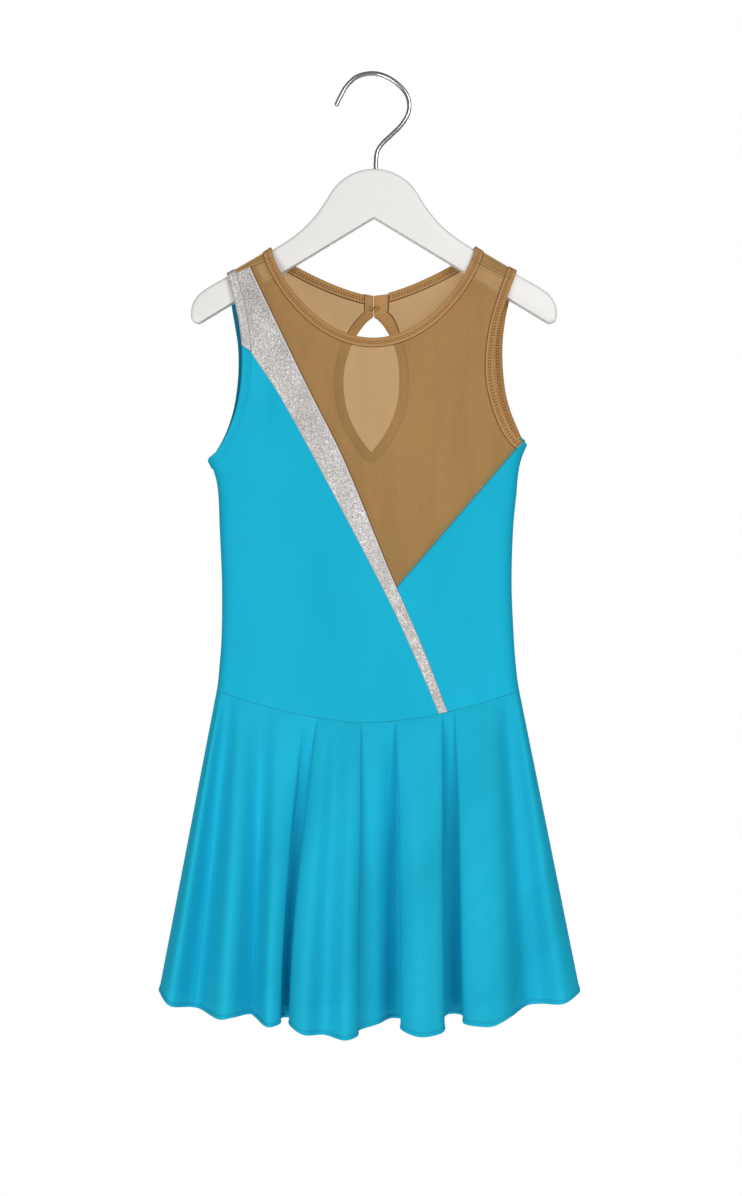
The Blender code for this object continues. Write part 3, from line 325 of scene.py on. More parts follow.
def neckHalf(which, side):
    shape, sign = neckline[side], signs[which]
    middle, half, top = neckline["middle"], neckline["half"], neckline["top"]
    curve = [(middle + sign * half, top + 10 * mm)]
    for k in range(41):
        u = math.cos(math.pi / 2 * k / 40)
        drop = (1 - abs(u) ** shape["wide"]) ** shape["deep"]
        curve.append((middle + sign * half * u, top + (shape["low"] - top) * drop))
    return curve


def neckEdge(side, inset=0.0):
    left, right = (continued(*(offsetCurve(neckHalf(which, s), turn * inset) for s in (side, -side)))
                   for which, turn in signs.items())
    return [*left, *right[-2::-1]]


def armholePart(which, side):
    rows = armholes[which, side]
    top, low = rows[0][0], rows[-1][0]
    curve = []
    for k in range(61):
        height = top + (low - top) * k / 60
        curve.append((alongOf(smoothRow(rows, height)[0], height), height))
    end = (sideAlong(which, underarm[which]), underarm[which])
    return [*curve, end, (end[0] + signs[which] * 20 * mm, end[1])]


def armholeEdge(which, side):
    return continued(armholePart(which, side), armholePart(which, -side))


def innerArmhole(which, side, gap=0.0):
    inset = (cloth["bandWidth"] + gap) * -signs[which]
    return continued(*(offsetCurve(armholePart(which, s), inset) for s in (side, -side)))


def insideSideSeam(which, gap):
    return lambda p: signs[which] * (sideAlong(which, p[1]) - p[0]) - gap


def seamDrop(which, along):
    atArmhole, atNeck = seams["shoulder"][which]
    share = (abs(along) - neckline["half"]) / (seams["shoulderOut"] - neckline["half"])
    return atNeck + (atArmhole - atNeck) * min(max(share, 0.0), 1.0)


def belowShoulderSeam(which, gap):
    return lambda p: flatRidge(p[0]) - seamDrop(which, p[0]) - gap - p[1]


def upToShoulderSeam(which, gap):
    return lambda p: flatRidge(p[0]) + seamDrop(which, p[0]) - gap - p[1]


def silverEdge(which, gap=0.0):
    top, low = silverEdges[0][0], silverEdges[-1][0]
    heights = [top + (low - top) * k / 90 for k in range(91)]
    curve = [(smoothRow(silverEdges, h)[which == "right"], h) for h in heights]
    return offsetCurve(curve, gap * signs[which])


def waistHeight(side, along):
    middle, half = bodyAt(seams["waistSide"])
    u = min(abs(along - middle) / half, 1.0)
    return seams["waistSide"] - seams["waistDip"][side] * (1 - u ** seams["waistPower"])


def aboveWaist(side, gap):
    return lambda p: p[1] - waistHeight(side, p[0]) - gap


def leftOfLine(a, b, gap=0.0):
    way = Vector(b) - Vector(a)
    left = Vector((-way.y, way.x)).normalized()
    return lambda p: (Vector(p) - Vector(a)).dot(left) - gap


def sideSeam(which, low, high, gap):
    heights = [low + (high - low) * k / 90 for k in range(91)]
    return [(sideAlong(which, h) - signs[which] * gap, h) for h in heights]


def waistSeam(side, start, end, gap):
    places = [start + (end - start) * k / 120 for k in range(121)]
    return [(along, waistHeight(side, along) + gap) for along in places]


def keyholeEdge(which):
    sign, k = signs[which], keyhole
    slitX = k["slitX"] + sign * k["slitHalf"]
    curve = straight((slitX, neckline[back]["low"]), (slitX, k["top"]), 6)
    for step in range(1, 65):
        height = k["top"] + (k["low"] - k["top"]) * step / 64
        if height > k["wideAt"]:
            u = (height - k["wideAt"]) / (k["top"] - k["wideAt"])
            spread = (1 - u**1.9) ** 0.75
            middle = k["slitX"] + (k["lean"] - k["slitX"]) * (1 - u)
        else:
            u = (k["wideAt"] - height) / (k["wideAt"] - k["low"])
            spread = 1 - u**2.3
            middle = k["lean"]
        curve.append((middle + sign * (k["slitHalf"] + (k["half"] - k["slitHalf"]) * spread), height))
    curve[-1] = (k["lean"], k["low"])
    return curve


def keyholeOuter(which, gap=0.0):
    sign, width = signs[which], cloth["bandWidth"] + gap
    edge = keyholeEdge(which)
    edge = [(edge[0][0], edge[0][1] + cloth["bandWidth"]), *edge]
    moved = offsetCurve(edge, sign * width)
    lean = keyhole["lean"]
    return cutCurve([*moved, (lean, keyhole["low"] - width * 1.25)], lambda p: sign * (p[0] - lean) + 1e-9)


# Making and finishing pieces

sewnTo = collections.defaultdict(list)


def tint(hexColour):
    shares = [int(hexColour[k:k + 2], 16) / 255 for k in (1, 3, 5)]
    return (*(s / 12.92 if s <= 0.04045 else ((s + 0.055) / 1.055) ** 2.4 for s in shares), 1.0)


def feed(tree, node, sockets):
    # a socket takes another node's first output, a given output or a plain value
    for name, value in sockets.items():
        if isinstance(value, bpy.types.Node):
            value = value.outputs[0]
        if isinstance(value, bpy.types.NodeSocket):
            tree.links.new(value, node.inputs[name])
        else:
            node.inputs[name].default_value = value


def addNode(tree, kind, sockets=None, ramp=(), **settings):
    node = tree.nodes.new("ShaderNode" + kind)
    for name, value in settings.items():
        setattr(node, name, value)
    if ramp:
        stops = node.color_ramp.elements
        for place, colour in ramp[1:-1]:
            stops.new(place).color = tint(colour)
        for k in (0, -1):
            stops[k].position, stops[k].color = ramp[k][0], tint(ramp[k][1])
    feed(tree, node, sockets or {})
    return node


def addObject(name, data, place=(0.0, 0.0, 0.0)):
    made = bpy.data.objects.new(name, data)
    made.location = place
    bpy.context.scene.collection.objects.link(made)
    return made


def startMaterial(name, sockets):
    made = bpy.data.materials.new(name)
    made.use_nodes = True
    tree = made.node_tree
    shader = tree.nodes["Principled BSDF"]
    feed(tree, shader, sockets)
    return made, tree, shader


def finishPiece(name, shape, material, slot=None, solid=False, wall=0.0, sheet=None):
    # solid: it takes the place of the node whose name is its own in snake case; sheet: it's sewn to that
    mesh = bpy.data.meshes.new(name)
    shape.to_mesh(mesh)
    shape.free()
    mesh.shade_smooth()
    mesh.materials.append(material)
    piece = addObject(name, mesh)
    if wall:
        shell = piece.modifiers.new("Cloth wall", "SOLIDIFY")
        shell.thickness = wall
        shell.offset = 0.0
    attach(piece, "root")
    slot or slotOf[material.name]
    if solid:
        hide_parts("".join("_" + c.lower() if c.isupper() else c for c in name))
    if sheet:
        sewnTo[sheet].append(piece)
    return piece


def placeMatrix(way, wide, out, place):
    axes = Matrix((way, wide, out)).transposed().to_4x4()
    axes.translation = place
    return axes


def warpedGrid(columns, rows, place):
    # place(u, v) gives the point and where it lies on the cloth's own map, in metres
    shape = bmesh.new()
    onCloth = shape.loops.layers.uv.new("cloth")
    bmesh.ops.create_grid(shape, x_segments=columns, y_segments=rows, size=0.5)
    placed = {vert: place(vert.co.x + 0.5, vert.co.y + 0.5) for vert in shape.verts}
    for face in shape.faces:
        for loop in face.loops:
            loop[onCloth].uv = placed[loop.vert][1]
    for vert, (point, _) in placed.items():
        vert.co = point
    return shape


def closeTube(shape):
    bmesh.ops.remove_doubles(shape, verts=shape.verts, dist=1e-6)
    bmesh.ops.holes_fill(shape, edges=[e for e in shape.edges if e.is_boundary], sides=0)
    bmesh.ops.recalc_face_normals(shape, faces=shape.faces)
    return shape


def tube(route, ups, halfWide, halfHigh, sides=8):
    # an oval tube along the route; ups says which way its height stands
    lengths = measured(route)
    last = len(route) - 1

    def place(u, v):
        k = round(v * last)
        way = (route[min(k + 1, last)] - route[max(k - 1, 0)]).normalized()
        wide = way.cross(ups[k]).normalized()
        angle = 2 * math.pi * u
        point = route[k] + wide * math.cos(angle) * halfWide + ups[k] * math.sin(angle) * halfHigh
        return point, (lengths[k], u * math.pi * (halfWide + halfHigh))

    return closeTube(warpedGrid(sides, last, place))


def draped(side, point, lift=0.0):
    # a place on the cloth as it hangs, creases and all, and the way out of it
    out = clothNormal(side, *point)
    return clothPoint(side, *point) + out * (creaseLift(side, *point) + lift), out


def onCloth(side, curve, lift=0.0):
    placed = [draped(side, p, lift) for p in curve]
    return [p for p, _ in placed], [out for _, out in placed]


def seamTube(name, side, curve, form, material, sheet, slot=None):
    lift, halfWide, halfHigh = (v * mm for v in seamForms[form])
    route, ups = onCloth(side, evenly(curve, 2.0 * mm), lift)
    finishPiece(name, tube(route, ups, halfWide, halfHigh), material, slot, sheet=sheet)


def through(points, steps):
    points = [Vector(p) for p in points]
    points = [2 * points[0] - points[1], *points, 2 * points[-1] - points[-2]]
    found = []
    for a, b, c, d in zip(points, points[1:], points[2:], points[3:]):
        for k in range(steps):
            t = k / steps
            found.append(0.5 * (2 * b + (c - a) * t + (2 * a - 5 * b + 4 * c - d) * t**2
                                + (3 * b - a - 3 * c + d) * t**3))
    return [*found, points[-2]]


# Materials

weave = {
    "wale": 1.3 * mm,          # a real wale is 0.25 mm, drawn coarser so that it shows
    "meshHole": 1.7 * mm,      # real holes are 0.6 mm apart, drawn coarser for the same reason
    "foilFleck": 0.75 * mm,     # flecks of the foil's crackle, as they are
    "thread": 0.5 * mm,
    "rung": 2.1 * mm,          # the coverstitch's rungs across a binding, 1.2 mm apart, drawn coarser
}


def clothMap(tree, scaleX=1.0, scaleY=1.0):
    place = addNode(tree, "TexCoord").outputs["UV"]
    return addNode(tree, "Mapping", {"Vector": place, "Scale": (scaleX, scaleY, 1.0)})


def ribs(tree, pitch, slant=0.0, across=0):
    # a sine across the cloth, or up it, once in every pitch
    split = addNode(tree, "SeparateXYZ", {0: clothMap(tree)}).outputs
    leaned = addNode(tree, "Math", {0: split[1 - across], 1: slant, 2: split[across]},
                     operation="MULTIPLY_ADD")
    turns = addNode(tree, "Math", {0: leaned, 1: 2 * math.pi / pitch}, operation="MULTIPLY")
    return addNode(tree, "Math", {0: turns}, operation="SINE")


def knitCloth(name, pale, deep, roughness, sheen, passing=None, share=0.0, streak=0.3, coarse=0.25,
             ladder=0.0):
    made, tree, shader = startMaterial(name, {
        "Roughness": roughness, "Sheen Weight": sheen, "Sheen Roughness": 0.45, "IOR": 1.5,
        "Specular IOR Level": 0.15, "Sheen Tint": tint(pale)})
    broad = addNode(tree, "TexNoise", {"Vector": clothMap(tree, 14.0, 5.0), "Scale": 1.0, "Detail": 3.0})
    fine = addNode(tree, "TexNoise", {"Vector": clothMap(tree, 900.0, 900.0), "Scale": 1.0, "Detail": 2.0})
    mixed = addNode(tree, "Math", {0: fine, 1: streak, 2: broad}, operation="MULTIPLY_ADD")
    if ladder:
        rungs = ribs(tree, weave["rung"], across=1)
        mixed = addNode(tree, "Math", {0: rungs, 1: ladder, 2: mixed}, operation="MULTIPLY_ADD")
    colour = addNode(tree, "ValToRGB", {"Fac": mixed}, ((0.35, deep), (0.95, pale)))
    wales, courses = (ribs(tree, weave["wale"], across=k) for k in (0, 1))
    loops = addNode(tree, "Math", {0: wales, 1: courses}, operation="MULTIPLY")
    height = addNode(tree, "Math", {0: loops, 1: coarse, 2: fine}, operation="MULTIPLY_ADD")
    bump = addNode(tree, "Bump", {"Height": height, "Strength": 0.35, "Distance": 0.25 * mm})
    feed(tree, shader, {"Base Color": colour, "Normal": bump})
    if passing:
        clear = addNode(tree, "BsdfTransparent", {"Color": passing})
        both = addNode(tree, "MixShader", {0: share, 1: shader, 2: clear})
        feed(tree, tree.nodes["Material Output"], {"Surface": both})
    return made


# Nylon and elastane tricot, warp knitted and dyed: matt, with a faint rib and a soft bloom at the edges
turquoiseTricot = knitCloth("Dyed nylon elastane tricot", "#14bde0", "#0db0d0", 0.7, 0.08)

# A darker copy of the tricot for a binding's turned-in faces: painted shade for the inside that lies in shadow,
# without the bloom
tricotPaintedShade = knitCloth("Dyed tricot, inside in painted shade", "#128dab", "#0c7a97", 0.75, 0.0)

# The same yarn in a light single knit: some of the light comes through it, and the more so the bluer
skirtTricot = knitCloth("Light nylon skirt knit", "#1ecaec", "#17b9da", 0.7, 0.08,
                         (0.25, 0.85, 1.0, 1.0), 0.15)

# Nylon binding, cut from tricot, folded and coverstitched: denser and duller than the mesh
tanBinding = knitCloth("Tan tricot binding", "#c5965f", "#946c41", 0.7, 0.12, streak=0.6, coarse=0.9,
                        ladder=0.22)


def powerMesh(name, pale, deep):
    # Nylon elastane power mesh, warp knitted with small holes: sheer, with streaks along the wales
    made, tree, shader = startMaterial(name, {
        "Roughness": 0.7, "Sheen Weight": 0.15, "IOR": 1.5, "Specular IOR Level": 0.25,
        "Sheen Tint": tint(pale)})
    streaks = addNode(tree, "TexNoise", {"Vector": clothMap(tree, 60.0, 9.0), "Scale": 1.0, "Detail": 2.0})
    grain = addNode(tree, "TexNoise", {"Vector": clothMap(tree, 800.0, 800.0), "Scale": 1.0, "Detail": 1.0})
    mixed = addNode(tree, "Math", {0: grain, 1: 0.7, 2: streaks}, operation="MULTIPLY_ADD")
    colour = addNode(tree, "ValToRGB", {"Fac": mixed}, ((0.5, deep), (1.0, pale)))
    one, other = (ribs(tree, weave["meshHole"], slant) for slant in (1.0, -1.0))
    holes = addNode(tree, "Math", {0: one, 1: other}, operation="MULTIPLY")
    bump = addNode(tree, "Bump", {"Height": holes, "Strength": 0.4, "Distance": 0.2 * mm})
    feed(tree, shader, {"Base Color": colour, "Normal": bump})
    seen = addNode(tree, "Math", {0: holes, 1: 0.08, 2: 0.52}, operation="MULTIPLY_ADD")
    # the fine net scatters most light on to what lies behind it
    camera = addNode(tree, "LightPath").outputs["Is Camera Ray"]
    share = addNode(tree, "Mix", {0: camera, 2: 0.93, 3: seen})
    stain = addNode(tree, "Mix", {0: camera, 6: (1.0, 0.96, 0.92, 1.0), 7: (1.0, 0.787, 0.597, 1.0)},
                    data_type="RGBA")
    clear = addNode(tree, "BsdfTransparent", {"Color": stain.outputs[2]})
    both = addNode(tree, "MixShader", {0: share, 1: shader, 2: clear})
    feed(tree, tree.nodes["Material Output"], {"Surface": both})
    return made


tanMesh = powerMesh("Tan power mesh", "#a99160", "#9c8656")


def crackledFoil():
    # Elastane with hot-stamped foil, crackled by stretching: flecks of mirror on grey, each of a random grey tone,
    # the brightest white as painted glints
    made, tree, shader = startMaterial("Crackled silver foil on elastane", {"Metallic": 0.3, "Roughness": 0.5})
    flecks = addNode(tree, "TexVoronoi", {"Vector": clothMap(tree), "Scale": 1 / weave["foilFleck"]})
    lot = addNode(tree, "SeparateColor", {0: flecks.outputs["Color"]})
    clouds = addNode(tree, "TexNoise", {"Vector": clothMap(tree, 45.0, 30.0), "Scale": 1.0, "Detail": 3.0})
    dulled = addNode(tree, "Math", {0: clouds, 1: 0.6, 2: -0.28}, operation="MULTIPLY_ADD")
    fleckToneAndGlint = addNode(tree, "Math", {0: lot, 1: dulled}, operation="ADD")
    # the white end of the ramp is painted glint, the rest random fleck tone
    colour = addNode(tree, "ValToRGB", {"Fac": fleckToneAndGlint},
                     ((0.0, "#a19c98"), (0.45, "#cbc6c2"), (0.85, "#dbd8d5"), (1.0, "#ffffff")))
    bump = addNode(tree, "Bump", {"Height": lot.outputs[1], "Strength": 0.3, "Distance": 0.2 * mm})
    feed(tree, shader, {"Base Color": colour, "Normal": bump})
    return made


silverFoil = crackledFoil()


def paintedWood():
    # Beech, sanded and sprayed with satin white: the grain stands faintly in the paint
    made, tree, shader = startMaterial("Satin white paint on beech", {
        "Roughness": 0.42, "Coat Weight": 0.15, "Coat Roughness": 0.3})
    place = addNode(tree, "TexCoord").outputs["Object"]
    long = addNode(tree, "Mapping", {"Vector": place, "Scale": (25.0, 300.0, 300.0)})
    grain = addNode(tree, "TexNoise", {"Vector": long, "Scale": 1.0, "Detail": 4.0})
    cloud = addNode(tree, "TexNoise", {"Vector": place, "Scale": 18.0, "Detail": 2.0})
    colour = addNode(tree, "ValToRGB", {"Fac": cloud}, ((0.0, "#eeece8"), (1.0, "#f7f6f4")))
    bump = addNode(tree, "Bump", {"Height": grain, "Strength": 0.25, "Distance": 0.15 * mm})
    feed(tree, shader, {"Base Color": colour, "Normal": bump})
    return made


whitePaint = paintedWood()


def brightWire():
    # Steel wire, drawn, bent and nickel-chrome plated: a mirror with drawing marks round it
    made, tree, shader = startMaterial("Chrome plated steel wire", {
        "Metallic": 1.0, "Base Color": tint("#c3c4c6")})
    marks = addNode(tree, "TexNoise", {"Vector": clothMap(tree, 300.0, 3000.0), "Scale": 1.0, "Detail": 2.0})
    rough = addNode(tree, "MapRange", {"Value": marks, "To Min": 0.08, "To Max": 0.26})
    feed(tree, shader, {"Roughness": rough})
    return made


chromeWire = brightWire()


def lacqueredBrass():
    # Brass wire, stamped and lacquered: a dull gold that hides in the tan binding
    made, tree, shader = startMaterial("Lacquered brass wire", {"Metallic": 0.8, "Coat Weight": 0.2})
    place = addNode(tree, "TexCoord").outputs["Object"]
    worn = addNode(tree, "TexNoise", {"Vector": place, "Scale": 900.0, "Detail": 2.0})
    colour = addNode(tree, "ValToRGB", {"Fac": worn}, ((0.0, "#9c7440"), (1.0, "#b98c52")))
    rough = addNode(tree, "MapRange", {"Value": worn, "To Min": 0.35, "To Max": 0.6})
    feed(tree, shader, {"Base Color": colour, "Roughness": rough})
    return made


closureWire = lacqueredBrass()


def sewingThread(name, pale, deep):
    # Spun polyester, two plies twisted: dull, striped by its twist
    made, tree, shader = startMaterial(name, {"Roughness": 0.6, "Sheen Weight": 0.2, "Specular IOR Level": 0.3})
    twist = ribs(tree, weave["thread"], 0.7)
    lift = addNode(tree, "Math", {0: twist, 1: 0.5, 2: 0.5}, operation="MULTIPLY_ADD")
    colour = addNode(tree, "ValToRGB", {"Fac": lift}, ((0.0, deep), (1.0, pale)))
    feed(tree, shader, {"Base Color": colour})
    return made


# Dark threads here also lie in seams' grooves as painted shade, and pale ones lie along edges as painted highlight
tanThreadAndShade = sewingThread("Tan spun polyester thread", "#6a4520", "#4c2f12")
blueThread = sewingThread("Turquoise spun polyester thread", "#1ea6c6", "#0f86a6")
darkBlueThreadAndShade = sewingThread("Deep turquoise overlock thread", "#095f7e", "#064560")
wheatThreadAndHighlight = sewingThread("Wheat spun polyester thread", "#dcb374", "#bb9055")
brownThreadAndShade = sewingThread("Brown overlock thread", "#6b431f", "#4c2e12")
roseThread = sewingThread("Salmon overlock thread", "#e9977c", "#c97a63")
paleThreadAndHighlight = sewingThread("Off-white spun polyester thread", "#f3f1ee", "#cfccc8")
greyGrooveShade = sewingThread("Grey overlock thread", "#aeaaa7", "#8e8a87")

# A slot name for each material; finishing a piece looks it up but doesn't use it
slotOf = {
    turquoiseTricot.name: "turquoise", skirtTricot.name: "turquoise_skirt", tanBinding.name: "tan_band",
    tanMesh.name: "tan_mesh", silverFoil.name: "silver", whitePaint.name: "white_wood",
    chromeWire.name: "chrome", closureWire.name: "chrome",
}
print("materials made")


# The hanger

hanger = {
    "boardHalf": 5.0 * mm,
    "boardRound": 3.2 * mm,
    "lowRound": 0.9 * mm,      # the lower edges are only broken
    "roundSteps": 6,
    "armFrom": 81.6 * mm,
    "armTo": 121.4 * mm,
    "headRadius": 42 * mm,
    "headTop": -76.8 * mm,
    "headArcTo": math.radians(60),
    "sweepPull": 25 * mm,
    "tipOut": 149.9 * mm,
    "tipLow": -196.0 * mm,
    "tipPull": 17 * mm,
    "tipCorner": (143.8 * mm, -203.5 * mm),
    "notchTop": -116.6 * mm,
    "wireHalf": 1.9 * mm,
    "shankX": 1.6 * mm,
    "shankDeep": 16 * mm,
}


def bezier(a, pullA, pullB, b, count):
    a, b = Vector(a), Vector(b)
    control = (a, a + Vector(pullA), b + Vector(pullB), b)
    return [tuple(p[:2]) for p in geometry.interpolate_bezier(*(c.to_3d() for c in control), count)]


def armTop(x):
    return (x, hanging["armLineTop"] - hanging["armSlope"] * x)


def rounded(shape, rims, offset, steps):
    bmesh.ops.bevel(shape, geom=rims, offset=offset, offset_type="OFFSET", segments=steps, profile=0.5,
                    affect="EDGES", material=-1, clamp_overlap=True)


def makeBoard():
    h = hanger
    head = []
    for k in range(25):
        angle = h["headArcTo"] * k / 24
        lowered = h["headRadius"] * (1 - math.cos(angle))
        head.append((h["headRadius"] * math.sin(angle), h["headTop"] - lowered))
    down = Vector((1.0, -hanging["armSlope"])).normalized()
    leave = Vector((math.cos(h["headArcTo"]), -math.sin(h["headArcTo"]))) * h["sweepPull"]
    tip = (h["tipOut"], h["tipLow"])
    half = head + bezier(head[-1], leave, -down * h["sweepPull"], armTop(h["armFrom"]), 25)[1:]
    half += bezier(armTop(h["armTo"]), down * h["tipPull"], (0.0, h["tipPull"]), tip, 19)
    half += bezier(tip, (0.0, -6 * mm), (4 * mm, 1 * mm), h["tipCorner"], 11)[1:]
    outline = [*half, (0.0, h["notchTop"]), *((-x, z) for x, z in half[:0:-1])]
    shape = bmesh.new()
    face = shape.faces.new([shape.verts.new((x, -h["boardHalf"], z)) for x, z in outline])
    grown = bmesh.ops.extrude_face_region(shape, geom=[face])
    far = [g for g in grown["geom"] if isinstance(g, bmesh.types.BMVert)]
    bmesh.ops.translate(shape, verts=far, vec=(0.0, 2 * h["boardHalf"], 0.0))
    bmesh.ops.recalc_face_normals(shape, faces=shape.faces)
    lowSlope = (h["tipCorner"][1] - h["notchTop"]) / h["tipCorner"][0]

    def lowEdge(edge):
        return all(v.co.z < h["notchTop"] + lowSlope * abs(v.co.x) + 0.5 * mm for v in edge.verts)

    for low, offset in ((False, h["boardRound"]), (True, h["lowRound"])):
        sharp = [e for e in shape.edges if abs(e.calc_face_angle(0.0)) > math.radians(60)]
        rims = [e for e in sharp if lowEdge(e) == low]
        rounded(shape, rims, offset, h["roundSteps"])
    return finishPiece("hangerBoard", shape, whitePaint, solid=True)


def makeHook():
    h = hanger
    low = h["headTop"] - h["shankDeep"]
    route = through([(x, 0.0, z) for x, z in (
        (h["shankX"], low), (h["shankX"], -0.0800), (h["shankX"], -0.0700), (0.0029, -0.0617), (0.0074, -0.0551),
        (0.0148, -0.0481), (0.0221, -0.0408), (0.0275, -0.0321), (0.0290, -0.0239), (0.0271, -0.0160),
        (0.0218, -0.0090), (0.0122, -0.0018), (0.0000, 0.0019), (-0.0132, -0.0005), (-0.0222, -0.0082),
        (-0.0274, -0.0169), (-0.0312, -0.0248),
    )], 8)
    shape = tube(route, [Vector((0.0, 1.0, 0.0))] * len(route), h["wireHalf"], h["wireHalf"], 16)
    ends = [f for f in shape.faces if len(f.verts) > 4]
    rims = {e for f in ends for e in f.edges}
    rounded(shape, list(rims), 0.7 * h["wireHalf"], 3)
    return finishPiece("hangerHook", shape, chromeWire, solid=True)


makeBoard()
makeHook()
print("hanger made")


# Panels of cloth

# Soft troughs and ridges: from, to, how wide, how far out (a trough is below nothing)
creases = {
    front: (
        ((-0.0945, -0.242), (-0.0880, -0.296), 6 * mm, -2.6 * mm),
        ((-0.0905, -0.244), (-0.0890, -0.292), 7 * mm, -1.3 * mm),
        ((-0.1010, -0.250), (-0.0990, -0.300), 6 * mm, 0.7 * mm),
        ((-0.1180, -0.332), (-0.0700, -0.362), 9 * mm, 0.8 * mm),
        ((-0.1200, -0.352), (-0.0850, -0.395), 9 * mm, -0.7 * mm),
        ((0.1050, -0.320), (0.0700, -0.360), 9 * mm, 0.8 * mm),
        ((0.1080, -0.345), (0.0850, -0.400), 8 * mm, -0.7 * mm),
        ((0.0700, -0.200), (0.0600, -0.290), 9 * mm, 0.9 * mm),
        ((0.0850, -0.215), (0.0800, -0.300), 7 * mm, -0.8 * mm),
        ((0.0250, -0.260), (0.0220, -0.360), 12 * mm, -0.8 * mm),
        ((-0.0600, -0.430), (-0.0300, -0.500), 12 * mm, -0.8 * mm),
        ((0.0750, -0.420), (0.0800, -0.490), 10 * mm, -0.7 * mm),
    ),
    back: (
        ((-0.0850, -0.250), (-0.0700, -0.330), 9 * mm, -0.9 * mm),
        ((0.0850, -0.240), (0.0700, -0.330), 9 * mm, -0.9 * mm),
        ((-0.1100, -0.330), (-0.0600, -0.380), 10 * mm, 0.9 * mm),
        ((0.1000, -0.320), (0.0600, -0.370), 10 * mm, 0.9 * mm),
        ((-0.0500, -0.400), (-0.0450, -0.490), 12 * mm, -0.9 * mm),
        ((0.0400, -0.410), (0.0450, -0.490), 12 * mm, -0.9 * mm),
    ),
}
slack = {
    "swell": 0.9 * mm, "swellSize": 55 * mm,
    "gather": 0.9 * mm, "gatherHigh": 32 * mm, "gatherWide": 33 * mm,
    "fromRidge": 45 * mm, "fromSide": 20 * mm, "fromWaist": 12 * mm,    # the slack grows over these lengths
}


def creaseLift(side, along, height):
    # nothing moves where the cloth lies on the board, so that it stays clear of it
    free = ease((flatRidge(along) - height) / slack["fromRidge"])
    if free <= 0.0:
        return 0.0
    here = Vector((along, height))
    lift = slack["swell"] * noise.noise(Vector((along, height, 3.0 * side)) / slack["swellSize"])
    for start, end, wide, out in creases[side]:
        a, way = Vector(start), Vector(end) - Vector(start)
        share = min(max((here - a).dot(way) / way.dot(way), 0.0), 1.0)
        away = (here - a - way * share).length / wide
        if away < 3.0:
            lift += out * math.exp(-away * away) * (0.35 + 0.65 * math.sin(math.pi * share))
    over = height - waistHeight(side, along)
    near = over / slack["gatherHigh"]
    lift += slack["gather"] * math.exp(-near * near) * math.sin(2 * math.pi * along / slack["gatherWide"])
    edge = min(sideAlong("right", height) - along, along - sideAlong("left", height))
    return lift * free * ease(edge / slack["fromSide"]) * ease(over / slack["fromWaist"])


def cutThrough(shape, place, normal, keep=None):
    faces = [f for f in shape.faces if keep is None or keep(f.calc_center_median())]
    edges = {e for f in faces for e in f.edges}
    verts = {v for f in faces for v in f.verts}
    bmesh.ops.bisect_plane(shape, geom=[*faces, *edges, *verts], dist=1e-6, plane_co=place, plane_no=normal)


def clothPanel(name, side, edges, material):
    outline = []
    for point in (p for edge in edges for p in evenly(edge, cloth["edgeStep"])):
        if not outline or math.dist(point, outline[-1]) > cloth["tooClose"]:
            outline.append(point)
    if math.dist(outline[0], outline[-1]) < cloth["tooClose"]:
        outline.pop()
    shape = bmesh.new()
    onCloth = shape.loops.layers.uv.new("cloth")
    shape.faces.new([shape.verts.new((*p, 0.0)) for p in outline])
    step = cloth["gridStep"]
    lows = [min(p[k] for p in outline) for k in (0, 1)]
    highs = [max(p[k] for p in outline) for k in (0, 1)]
    for axis in (0, 1):
        normal = (1.0, 0.0, 0.0) if axis == 0 else (0.0, 1.0, 0.0)
        for k in range(math.ceil(lows[axis] / step), math.floor(highs[axis] / step) + 1):
            cutThrough(shape, tuple(c * k * step for c in normal), normal)
    if highs[1] > flatRidge(0.14):
        for sign in (-1, 1):
            for row in range(-cloth["ridgeRows"], cloth["ridgeRows"] + 1):
                level = flatRidge(0.0) + row * cloth["ridgeRow"]
                cutThrough(shape, (0.0, level, 0.0), (sign * hanging["armSlope"], 1.0, 0.0),
                           lambda c: c.x * sign > 0 and abs(c.y - flatRidge(c.x)) < cloth["ridgeReach"])
    bmesh.ops.remove_doubles(shape, verts=shape.verts, dist=0.15 * mm)
    bmesh.ops.triangulate(shape, faces=[f for f in shape.faces if len(f.verts) > 4])
    for edge in shape.edges:
        edge.smooth = not edge.is_boundary      # keeps the cut edge of the wall crisp
    area = sum(f.calc_area() for f in shape.faces)
    for face in shape.faces:
        for loop in face.loops:
            loop[onCloth].uv = loop.vert.co.xy
    if side == back:
        bmesh.ops.reverse_faces(shape, faces=shape.faces)
    for vert in shape.verts:
        vert.co = draped(side, vert.co.xy)[0]
    finishPiece(name, shape, material, solid=True, wall=2 * cloth["wallHalf"])
    panels[name] = (highs[0] - lows[0], highs[1] - lows[1]), area


tuck = -1.5 * mm               # how far a panel runs on inside its folded binding
seamHalf = 0.06 * mm
panels = {}                    # each panel's flat size and area
vee, yokeSide = seams["vee"], seams["yokeSide"]
aboveYokeSeam, underYokeSeam = leftOfLine(vee, yokeSide, seamHalf), leftOfLine(yokeSide, vee, seamHalf)


def atWaist(side, which):
    return waistHeight(side, sideAlong(which, seams["waistSide"])) + seamHalf


